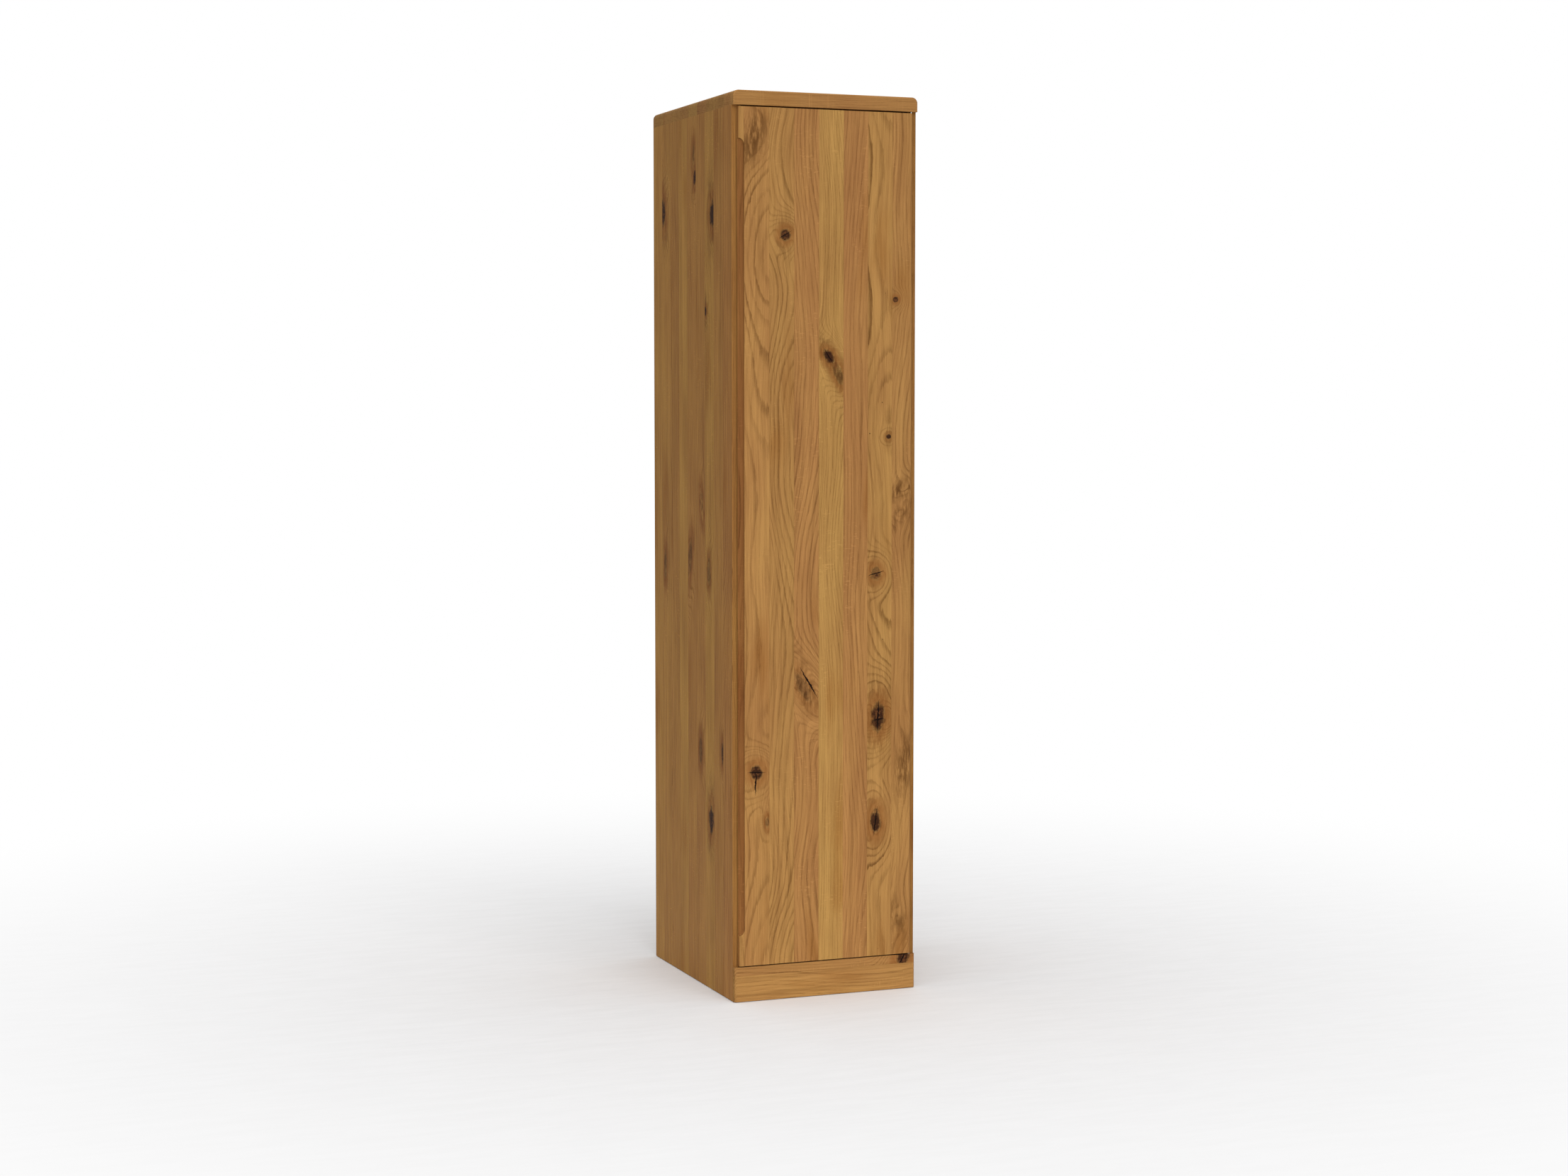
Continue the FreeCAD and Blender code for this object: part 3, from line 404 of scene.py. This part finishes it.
def oakMaterial(name, grain, face, width=0.0645, shift=0.0, seed=1.0, knots=(), traits=(), toneAndPaintedShade=(1, 1, 1),
                recessPaintedShade=None):
    # grain and face are the axes along the fibres and across the staves
    material, desk, shader = newMaterial(name)
    depth = next(axis for axis in "xyz" if axis not in (grain, face))
    coordinates = desk.add("ShaderNodeTexCoord")
    place = desk.split(coordinates.outputs["Object"])
    along, across, through = (place[axisNumber[axis]] for axis in (grain, face, depth))
    stave = placeGroup(desk, oakStaves, {"Across": across, "Width": width, "Shift": shift, "Seed": seed})
    if traits:
        (tone, warmth, figured), lean = traitRamp(desk, stave["Number"], traits)
    else:
        tone, warmth, figured = desk.split(stave["Traits"])
        lean = desk.times(warmth, figured)
    values = {"Along": along, "Across": stave["Local"], "Through": through, "Dice": stave["Dice"],
              "Tone": tone, "Warmth": warmth, "Figure": figured, "Lean": lean, "Joint": stave["Joint"]}
    if knots:
        rough = placeGroup(desk, oakRough, {"Along": along, "Across": across, "Through": through})
        sums = gatherKnots(desk, along, across, stave["Number"], rough, knots, width, shift)
        values["Across"] = desk.math("ADD", stave["Local"], sums["Push"])
        values["Curl"] = sums["Curl"]
    figure = placeGroup(desk, oakFigure, values)
    colour = figure["Colour"]
    height = figure["Height"]
    if knots:
        stain = desk.times(sums["Stain"], rough["Streaks"])
        colour = desk.blend(desk.times(stain, 0.85), colour, oak["knotStain"])
        colour = desk.blend(desk.times(sums["Rim"], 0.5), colour, oak["knotRim"])
        heart = desk.times(sums["Inside"], rough["Heart"])
        inside = desk.blend(heart, oak["knotCore"], oak["knotHeart"])
        colour = desk.blend(desk.times(sums["Core"], 0.95), colour, inside)
        holes = desk.times(rough["Holes"], desk.ramp(figured, 0.90, 0.94))
        black = desk.math("MAXIMUM", sums["Split"], holes)
        colour = desk.blend(black, colour, oak["split"])
        height = desk.math("MULTIPLY_ADD", black, -2.5, height)
        height = desk.math("MULTIPLY_ADD", sums["Core"], 0.25, height)
    normal = desk.split(coordinates.outputs["Normal"])
    endGrain = desk.ramp(desk.math("ABSOLUTE", normal[axisNumber[grain]]), 0.55, 0.9)
    darker = desk.math("MULTIPLY_ADD", endGrain, -oak["endGrainDark"], 1.0)
    # the tint multiplies the colour; on the side panels it is painted shade for their weaker light
    darker = desk.combine(*(desk.times(darker, float(share)) for share in toneAndPaintedShade))
    colour = desk.blend(1.0, colour, darker, "MULTIPLY")
    # painted shade: behind the door's front plane the colour is darkened towards the recess floor, in place
    # of the shade in the finger recess
    if recessPaintedShade:
        front = cadLow[axisNumber[depth]]
        recessShadeMask = desk.times(desk.ramp(through, front + recessPaintedShade["from"], front + recessPaintedShade["to"]),
                          desk.ramp(through, front + recessPaintedShade["floor"] + 0.0005, front + recessPaintedShade["floor"]))
        colour = desk.blend(recessShadeMask, colour, desk.blend(1.0, colour, recessPaintedShade["colour"], "MULTIPLY"))
    desk.plug(colour, shader.inputs["Base Color"])
    gloss = desk.math("MULTIPLY_ADD", figure["Rings"], 0.10, oak["gloss"])
    desk.plug(desk.math("MULTIPLY_ADD", endGrain, 0.15, gloss), shader.inputs["Roughness"])
    shader.inputs["Specular IOR Level"].default_value = 0.04
    bump = desk.add("ShaderNodeBump")
    desk.plug(0.7, bump.inputs["Strength"])
    desk.plug(oak["bump"], bump.inputs["Distance"])
    desk.plug(height, bump.inputs["Height"])
    desk.plug(bump.outputs["Normal"], shader.inputs["Normal"])
    return material


doorOak = {
    "shift": 0.2777,
    # painted shade: the finger recess is darkened towards its floor, standing in for the shade that falls in
    # it
    "recessPaintedShade": {"from": 0.0012, "to": 0.0045, "floor": 0.0062, "colour": (0.62, 0.50, 0.46, 1)},
    # tone, warmth, figure and lean of each stave from the left
    "traits": [
        (0.50, 0.45, 0.30, 0.1), (0.58, 0.60, 0.70, 0.2), (0.48, 0.42, 0.60, 1.0), (0.44, 0.78, 0.35, 0.5),
        (0.70, 0.10, 0.10, 0.0), (0.40, 0.85, 0.25, 0.3), (0.55, 0.38, 0.95, 0.4), (0.35, 0.60, 0.40, 0.5),
    ],
    # at is the height and the distance from the middle
    "knots": [
        {"at": (1.860, -0.107), "size": 0.0150, "stretch": 1.1, "turn": 60, "split": 0.8, "stain": 0.5},
        {"at": (1.569, 0.006), "size": 0.0140, "stretch": 1.4, "lean": -35, "turn": -32, "inside": 0.3},
        {"at": (1.530, 0.030), "size": 0.0130, "stretch": 2.6, "lean": -24, "core": 0.35, "split": 0.0},
        {"at": (1.709, 0.182), "size": 0.0080, "stretch": 1.0, "split": 0.0, "stain": 0.3},
        {"at": (1.374, 0.165), "size": 0.0075, "stretch": 1.0, "split": 0.0, "stain": 0.5, "rim": 0.6},
        {"at": (1.039, 0.132), "size": 0.0160, "stretch": 1.2, "turn": 75, "core": 0.6, "stain": 0.3},
        {"at": (1.034, 0.134), "size": 0.0060, "stretch": 0.8, "split": 0.0, "stain": 0.0, "push": 0.0},
        {"at": (0.776, -0.046), "size": 0.0220, "stretch": 1.8, "lean": -31, "turn": -31,
         "core": 0.0, "rim": 0.0, "curl": 0.3, "stain": 0.3},
        {"at": (0.764, -0.060), "size": 0.0150, "stretch": 3.2, "lean": -30, "core": 0.45, "rim": 0.5,
         "split": 0.0},
        {"at": (0.684, 0.138), "size": 0.0220, "stretch": 1.75, "lean": 3, "turn": 4, "stain": 0.8},
        {"at": (0.678, 0.140), "size": 0.0180, "stretch": 0.7, "turn": 82,
         "core": 0.5, "stain": 0.0, "push": 0.0},
        {"at": (0.562, -0.182), "size": 0.0180, "stretch": 1.15, "turn": 92, "stain": 0.3, "inside": 1.3},
        {"at": (0.535, -0.184), "size": 0.0200, "stretch": 1.3, "turn": 2,
         "core": 0.0, "rim": 0.0, "curl": 0.3, "stain": 0.0, "push": 0.0},
        {"at": (0.425, 0.132), "size": 0.0165, "stretch": 2.0, "turn": 8, "stain": 0.5, "inside": 0.3},
        {"at": (1.245, 0.206), "size": 0.0140, "stretch": 1.6, "lean": 65,
         "core": 0.0, "rim": 0.0, "curl": 0.3, "split": 0.0},
        {"at": (1.185, 0.196), "size": 0.0160, "stretch": 1.6, "lean": 55,
         "core": 0.0, "rim": 0.0, "curl": 0.3,
         "split": 0.0, "stain": 0.7},
        {"at": (0.565, 0.212), "size": 0.0160, "stretch": 3.0, "lean": 12,
         "core": 0.0, "rim": 0.0, "curl": 0.3, "split": 0.0},
        {"at": (0.439, -0.154), "size": 0.0060, "stretch": 2.6, "core": 0.5, "split": 0.0},
        {"at": (2.090, -0.190), "size": 0.0170, "stretch": 1.6, "lean": 20,
         "core": 0.0, "rim": 0.0, "curl": 0.3, "split": 0.0},
        {"at": (0.180, 0.190), "size": 0.0160, "stretch": 1.6, "lean": -20,
         "core": 0.0, "rim": 0.0, "curl": 0.3,
         "split": 0.0, "stain": 0.6},
    ],
}
leftOak = {
    "shift": 0.2869,
    # painted shade: this tint darkens and warms the side panel, standing in for the weaker light on the
    # sides and the shade on its front strip; the oak is the same as the door's
    "toneAndPaintedShade": (0.92, 0.87, 0.71),
    "traits": [
        (0.50, 0.75, 0.35, 0.1), (0.42, 0.55, 0.20, 0.1), (0.68, 0.10, 0.10, 0.0), (0.38, 0.60, 0.25, 0.2),
        (0.46, 0.55, 0.20, 0.1), (0.70, 0.12, 0.10, 0.0), (0.36, 0.50, 0.30, 0.2), (0.55, 0.35, 0.15, 0.0),
        (0.62, 0.25, 0.15, 0.0), (0.50, 0.40, 0.20, 0.0),
    ],
    # at is the height and the distance from the middle, back positive
    "knots": [
        {"at": (1.943, 0.222), "size": 0.0200, "stretch": 2.0, "lean": 8, "split": 0.3, "stain": 1.0},
        {"at": (2.012, -0.020), "size": 0.0110, "stretch": 2.0, "lean": -14, "split": 0.0},
        {"at": (2.060, -0.014), "size": 0.0130, "stretch": 3.0, "core": 0.0, "split": 0.0},
        {"at": (1.915, -0.150), "size": 0.0220, "stretch": 1.6, "split": 0.4, "inside": 0.2},
        {"at": (1.681, -0.098), "size": 0.0090, "stretch": 1.3, "split": 0.0},
        {"at": (1.204, -0.068), "size": 0.0130, "stretch": 3.2, "lean": 8, "core": 0.0, "split": 0.0},
        {"at": (1.070, 0.020), "size": 0.0150, "stretch": 3.6, "lean": -12, "core": 0.25, "split": 0.0},
        {"at": (1.040, -0.120), "size": 0.0120, "stretch": 3.0, "core": 0.5, "split": 0.0},
        {"at": (1.040, 0.211), "size": 0.0120, "stretch": 3.4, "core": 0.4, "split": 0.0},
        {"at": (0.590, -0.057), "size": 0.0130, "stretch": 3.0, "core": 0.5, "split": 0.0},
        {"at": (0.601, -0.217), "size": 0.0120, "stretch": 2.4, "core": 0.7, "split": 0.3},
        {"at": (0.426, -0.135), "size": 0.0200, "stretch": 1.9, "turn": 3, "split": 0.8},
    ],
}
rightOak = {
    "shift": 0.2869,
    # painted shade: this tint darkens and warms the side panel, standing in for the weaker light on the
    # sides; the oak is the same as the door's
    "toneAndPaintedShade": (0.92, 0.87, 0.71),
    "knots": [
        {"at": (1.720, 0.120), "size": 0.0180, "stretch": 1.6, "lean": 8, "turn": 20},
        {"at": (1.330, -0.180), "size": 0.0110, "stretch": 1.4, "split": 0.5},
        {"at": (0.880, 0.030), "size": 0.0200, "stretch": 1.8, "lean": -10, "turn": -15},
        {"at": (0.410, -0.090), "size": 0.0140, "stretch": 1.5, "turn": 30, "split": 0.6},
        {"at": (2.020, -0.060), "size": 0.0100, "stretch": 2.4, "core": 0.5, "split": 0.0},
    ],
}
plinthOak = {
    "shift": 0.0,
    "traits": [(0.55, 0.45, 0.45, 0.2), (0.20, 0.70, 0.35, 0.1)],
    "knots": [{"at": (0.207, 0.078), "size": 0.0190, "stretch": 1.2, "lean": 50, "turn": 60, "stain": 0.4}],
}
topOak = {
    "shift": 0.2975 + 0.0645,
    # painted light: the front staves' tone (0.9, 0.95) is raised, standing in for the light that falls on
    # the board's front
    "traits": [(0.9, 0.7, 0.3, 0.1), (0.95, 0.70, 0.30, 0.2), (0.5, 0.4, 0.5, 0.2), (0.6, 0.2, 0.2, 0.1),
               (0.4, 0.8, 0.4, 0.3), (0.7, 0.1, 0.1, 0.0), (0.5, 0.5, 0.8, 0.2), (0.6, 0.3, 0.3, 0.1),
               (0.45, 0.6, 0.5, 0.4), (0.6, 0.2, 0.2, 0.1), (0.5, 0.5, 0.3, 0.0)],
}

oakOf = {
    "door_panel": oakMaterial("oakDoor", "z", "x", seed=3.0, **doorOak),
    "side_panel_left": oakMaterial("oakLeft", "z", "y", seed=11.0, **leftOak),
    "side_panel_right": oakMaterial("oakRight", "z", "y", seed=17.0, **rightOak),
    "top_board": oakMaterial("oakTop", "x", "y", seed=23.0, **topOak),
    "plinth_board": oakMaterial("oakPlinth", "x", "z", seed=31.0, **plinthOak),
}
for node in ("bottom_panel", "fixed_shelf"):
    oakOf[node] = oakMaterial(f"oak_{node}", "x", "y", shift=0.02, seed=40.0 + len(oakOf))
for number in range(1, 5):
    oakOf[f"shelf_{number}"] = oakMaterial(f"oakShelf{number}", "x", "y", shift=0.01 * number,
                                           seed=50.0 + number)
for node in ("rear_plinth_rail", "door_stop_rail", "corner_blocks", "door_batten_lower",
             "door_batten_middle", "door_batten_upper"):
    oakOf[node] = oakMaterial(f"oak_{node}", "x", "z", width=0.09, shift=0.03, seed=60.0 + len(oakOf))
for node in ("back_panel_lower", "back_panel_upper"):
    oakOf[node] = oakMaterial(f"oak_{node}", "z", "x", width=0.15, shift=0.05, seed=80.0 + len(oakOf),
                              toneAndPaintedShade=(0.92, 0.90, 0.86))
print("oak materials made")


def metalMaterial(name, colour, roughness, metallic=1.0, scratch=0.0):
    material, desk, shader = newMaterial(name)
    place = desk.add("ShaderNodeTexCoord").outputs["Object"]
    cloud = desk.noise(place, scale=260.0, detail=3.0)
    fine = desk.noise(place, scale=1900.0, detail=2.0)
    darker = tuple(part * 0.72 for part in colour[:3]) + (1.0,)
    desk.plug(desk.blend(desk.ramp(cloud, 0.3, 0.75), colour, darker), shader.inputs["Base Color"])
    desk.plug(desk.math("MULTIPLY_ADD", cloud, 0.16, roughness - 0.08), shader.inputs["Roughness"])
    shader.inputs["Metallic"].default_value = metallic
    bump = desk.add("ShaderNodeBump")
    desk.plug(0.25 + scratch, bump.inputs["Strength"])
    desk.plug(0.00005, bump.inputs["Distance"])
    desk.plug(fine, bump.inputs["Height"])
    desk.plug(bump.outputs["Normal"], shader.inputs["Normal"])
    return material


def softMaterial(name, colour, roughness, scale, depth):
    material, desk, shader = newMaterial(name)
    place = desk.add("ShaderNodeTexCoord").outputs["Object"]
    fuzz = desk.noise(place, scale=scale, detail=4.0, roughness=0.65)
    lighter = tuple(min(1.0, part * 1.5) for part in colour[:3]) + (1.0,)
    desk.plug(desk.blend(desk.ramp(fuzz, 0.35, 0.7), colour, lighter), shader.inputs["Base Color"])
    desk.plug(desk.math("MULTIPLY_ADD", fuzz, 0.12, roughness - 0.06), shader.inputs["Roughness"])
    bump = desk.add("ShaderNodeBump")
    desk.plug(0.6, bump.inputs["Strength"])
    desk.plug(depth, bump.inputs["Distance"])
    desk.plug(fuzz, bump.inputs["Height"])
    desk.plug(bump.outputs["Normal"], shader.inputs["Normal"])
    return material


finishes = {
    "bright_steel": metalMaterial("nickelledSteel", (0.60, 0.58, 0.54, 1), 0.28),
    "zinc_steel": metalMaterial("zincedSteel", (0.56, 0.57, 0.56, 1), 0.36),
    "zinc_cast": metalMaterial("castZinc", (0.42, 0.42, 0.41, 1), 0.48, scratch=0.3),
    "dark_steel": metalMaterial("bronzedSteel", (0.055, 0.045, 0.038, 1), 0.42, metallic=0.85),
    "magnet": metalMaterial("magnetPoles", (0.20, 0.20, 0.21, 1), 0.34),
    "black_plastic": softMaterial("blackPlastic", (0.018, 0.018, 0.019, 1), 0.46, 900.0, 0.00004),
    "nylon": softMaterial("brownNylon", (0.16, 0.10, 0.055, 1), 0.50, 700.0, 0.00004),
    "felt": softMaterial("feltPad", (0.10, 0.07, 0.045, 1), 0.95, 2600.0, 0.0002),
    "beech": softMaterial("beechDowel", (0.46, 0.30, 0.16, 1), 0.62, 500.0, 0.00008),
}


def finishOf(node):
    return oakOf.get(node) or finishes[slotOf[node]]


def shade(meshData):
    # flat on the broad level faces, smooth on rounded ones
    for face in meshData.polygons:
        level = max(abs(part) for part in face.normal) > 0.9999
        face.use_smooth = not (level and face.area > 2e-5)


def finishPiece(name, mesh, node, material=None):
    data = bpy.data.meshes.new(name)
    mesh.to_mesh(data)
    mesh.free()
    shade(data)
    data.materials.append(material or finishOf(node))
    piece = bpy.data.objects.new(name, data)
    bpy.context.scene.collection.objects.link(piece)
    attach(piece, bodyOf[node])
    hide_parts(node)
    return piece


def mergedCopy(node):
    mesh = bmesh.new()
    mesh.from_mesh(nodes[node].data)
    bmesh.ops.remove_doubles(mesh, verts=mesh.verts, dist=0.000004)
    return mesh


def easeEdges(mesh, ease, least=30.0, segments=3):
    bmesh.ops.dissolve_limit(mesh, angle_limit=math.radians(0.4), verts=mesh.verts, edges=mesh.edges)
    sharp = [edge for edge in mesh.edges
             if len(edge.link_faces) == 2 and edge.calc_face_angle(0) > math.radians(least)]
    bmesh.ops.bevel(mesh, geom=sharp, offset=ease, segments=segments, profile=0.5, affect="EDGES",
                    clamp_overlap=True, material=-1)


def easedBoard(name, node, ease):
    mesh = mergedCopy(node)
    easeEdges(mesh, ease)
    return finishPiece(name, mesh, node)


boardEase = {
    "top_board": 0.0010, "side_panel_left": 0.0008, "side_panel_right": 0.0008, "door_panel": 0.0008,
    "plinth_board": 0.0008, "bottom_panel": 0.0008, "fixed_shelf": 0.0015, "shelf_1": 0.0015,
    "shelf_2": 0.0015, "shelf_3": 0.0015, "shelf_4": 0.0015, "door_batten_lower": 0.0020,
    "door_batten_middle": 0.0020, "door_batten_upper": 0.0020, "door_stop_rail": 0.0012,
    "rear_plinth_rail": 0.0010, "corner_blocks": 0.0008, "back_panel_lower": 0.0004,
    "back_panel_upper": 0.0004,
}
# a cone head with a cross recess, in metres and shares of the head's radius
screw = {
    "segments": 24,
    "coneDeep": 0.0016,
    "crossReach": 0.62,
    "crossArm": 0.17,
    "crossDeep": 0.0012,
    "crossTaper": 0.5,
    "rim": 0.00012,
    "point": 0.003,
}


def looseSolids(mesh):
    left = set(mesh.verts)
    while left:
        waiting = [left.pop()]
        solid = []
        while waiting:
            vert = waiting.pop()
            solid.append(vert.co.copy())
            near = {edge.other_vert(vert) for edge in vert.link_edges} & left
            left -= near
            waiting.extend(near)
        yield solid


def measureScrew(solid):
    # head centre, head radius, shank radius, direction and length of one screw
    low = Vector([min(point[axis] for point in solid) for axis in range(3)])
    high = Vector([max(point[axis] for point in solid) for axis in range(3)])
    long = max(range(3), key=lambda axis: high[axis] - low[axis])
    middle = (low + high) / 2

    def widthAt(level):
        ring = [point for point in solid if abs(point[long] - level) < 2e-5]
        return max(((point - middle) - (point - middle)[long] * Vector(
            [float(axis == long) for axis in range(3)])).length for point in ring)

    start, end = (low[long], high[long])
    if widthAt(end) > widthAt(start):
        start, end = end, start
    seat = middle.copy()
    seat[long] = start
    way = Vector([math.copysign(1.0, end - start) if axis == long else 0.0 for axis in range(3)])
    return seat, widthAt(start), widthAt(end), way, abs(end - start)


def addCrossScrew(mesh, solid):
    # the head faces +Z while it is made, with its flat at 0
    seat, headRadius, shankRadius, way, length = measureScrew(solid)
    steps = screw["segments"]
    rim = bmesh.ops.create_circle(mesh, segments=steps, radius=headRadius)["verts"]
    cross = bmesh.ops.create_circle(mesh, segments=steps // 2, radius=headRadius / 2)["verts"]
    reach = headRadius * screw["crossReach"]
    arm = headRadius * screw["crossArm"]
    corners = ((reach, -arm), (reach, arm), (arm, arm))
    for number, vert in enumerate(cross):
        quarter, corner = divmod(number, 3)
        vert.co = Matrix.Rotation(math.radians(90 * quarter), 3, "Z") @ Vector((*corners[corner], 0))
    made = list(rim) + list(cross)

    def ringEdges(verts):
        members = set(verts)
        return [edge for edge in mesh.edges if members.issuperset(edge.verts)]

    def drop(verts, depth, scale):
        grown = bmesh.ops.extrude_edge_only(mesh, edges=ringEdges(verts))["geom"]
        lower = [item for item in grown if isinstance(item, bmesh.types.BMVert)]
        for vert in lower:
            vert.co = Vector((vert.co.x * scale, vert.co.y * scale, vert.co.z - depth))
        made.extend(lower)
        return lower

    bmesh.ops.bridge_loops(mesh, edges=ringEdges(rim) + ringEdges(cross))
    floor = drop(cross, screw["crossDeep"], screw["crossTaper"])
    bmesh.ops.edgeloop_fill(mesh, edges=ringEdges(floor))
    under = drop(rim, screw["rim"], 1.0)
    under = drop(under, screw["coneDeep"] - screw["rim"], shankRadius / headRadius)
    under = drop(under, length - screw["coneDeep"] - screw["point"], 1.0)
    under = drop(under, screw["point"], 0.25)
    bmesh.ops.edgeloop_fill(mesh, edges=ringEdges(under))
    bmesh.ops.transform(mesh, matrix=way.to_track_quat("-Z", "Y").to_matrix().to_4x4(), verts=made)
    bmesh.ops.translate(mesh, vec=seat, verts=made)


def crossScrews(node):
    model = mergedCopy(node)
    mesh = bmesh.new()
    for solid in looseSolids(model):
        addCrossScrew(mesh, solid)
    model.free()
    bmesh.ops.recalc_face_normals(mesh, faces=mesh.faces)
    return finishPiece(f"cross_{node}", mesh, node)


screwNodes = ("batten_screws", "back_panel_screws", "bracket_screws", "catch_screws", "strike_screw",
              "carcase_leaf_screws", "door_leaf_screws")
for node in screwNodes:
    crossScrews(node)
print("screws made")

for node, ease in boardEase.items():
    easedBoard(f"eased_{node}", node, ease)
for node, thing in nodes.items():
    if node not in boardEase and node not in screwNodes:
        thing.data.materials.clear()
        thing.data.materials.append(finishOf(node))
print("boards made")


studio = {
    "sky": 0.43,
    "frontLight": {"power": 1.50, "softness": 60, "from": (-0.2, -6.0, 2.6)},
    "overheadLight": {"power": 0.90, "softness": 100, "from": (-0.6, -0.4, 6.0)},
    "floorColour": (0.92, 0.92, 0.925, 1),
    "floorStreak": (0.96, 0.96, 0.968, 1),
    "farFloorGlow": 0.55,
    "floorRadius": 40.0,
    "fadeFrom": 0.1,
    "fadeTo": 3.4,
}


def whiteFor(desk, seen, unseen):
    # what is sent to the picture, and what lights the object
    path = desk.add("ShaderNodeLightPath").outputs["Is Camera Ray"]
    return desk.math("MULTIPLY_ADD", path, seen - unseen, unseen)


def makeFloor():
    mesh = bmesh.new()
    bmesh.ops.create_circle(mesh, cap_ends=True, radius=studio["floorRadius"], segments=96)
    data = bpy.data.meshes.new("studioFloor")
    mesh.to_mesh(data)
    mesh.free()
    material, desk, shader = newMaterial("paleFloor")
    place = desk.add("ShaderNodeTexCoord").outputs["Object"]
    x, y, z = desk.split(place)
    trowel = desk.noise(desk.combine(desk.times(x, 5.0), desk.times(y, 26.0), z),
                        detail=6.0, roughness=0.7)
    desk.plug(desk.blend(desk.ramp(trowel, 0.3, 0.7), studio["floorColour"], studio["floorStreak"]),
              shader.inputs["Base Color"])
    shader.inputs["Roughness"].default_value = 0.9
    shader.inputs["Specular IOR Level"].default_value = 0.1
    distance = desk.math("SQRT", desk.math("ADD", desk.times(x, x), desk.times(y, y)))
    fade = desk.ramp(distance, studio["fadeFrom"], studio["fadeTo"])
    glow = desk.add("ShaderNodeEmission")
    desk.plug((1, 1, 1, 1), glow.inputs["Color"])
    desk.plug(whiteFor(desk, 1.0, studio["farFloorGlow"]), glow.inputs["Strength"])
    mixed = desk.add("ShaderNodeMixShader")
    desk.plug(fade, mixed.inputs[0])
    desk.plug(shader.outputs[0], mixed.inputs[1])
    desk.plug(glow.outputs[0], mixed.inputs[2])
    output = material.node_tree.nodes["Material Output"]
    desk.plug(mixed.outputs[0], output.inputs["Surface"])
    data.materials.append(material)
    floor = bpy.data.objects.new("studioFloor", data)
    bpy.context.scene.collection.objects.link(floor)


def makeLights():
    world = bpy.data.worlds.new("studioWorld")
    world.use_nodes = True
    desk = Desk(world.node_tree)
    background = world.node_tree.nodes["Background"]
    background.inputs["Color"].default_value = (1, 1, 1, 1)
    desk.plug(whiteFor(desk, 1.0, studio["sky"]), background.inputs["Strength"])
    bpy.context.scene.world = world
    for name in ("frontLight", "overheadLight"):
        lamp = bpy.data.lights.new(name, "SUN")
        lamp.energy = studio[name]["power"]
        lamp.angle = math.radians(studio[name]["softness"])
        thing = bpy.data.objects.new(name, lamp)
        bpy.context.scene.collection.objects.link(thing)
        thing.location = studio[name]["from"]
        thing.rotation_euler = (-Vector(studio[name]["from"])).to_track_quat("-Z", "Y").to_euler()


camera = {
    "place": (-2.4566, -6.2943, 1.4544),
    "downward": 3.957,
    "turn": -21.366,
    "lens": 61.14,
}


def makeCamera():
    data = bpy.data.cameras.new("studioCamera")
    data.lens = camera["lens"]
    data.sensor_width = 36.0
    thing = bpy.data.objects.new("studioCamera", data)
    thing.location = camera["place"]
    thing.rotation_euler = (math.radians(90 - camera["downward"]), 0, math.radians(camera["turn"]))
    bpy.context.scene.collection.objects.link(thing)
    bpy.context.scene.camera = thing
    bpy.context.scene.view_settings.view_transform = "Standard"


makeFloor()
makeLights()
makeCamera()
print("studio made")
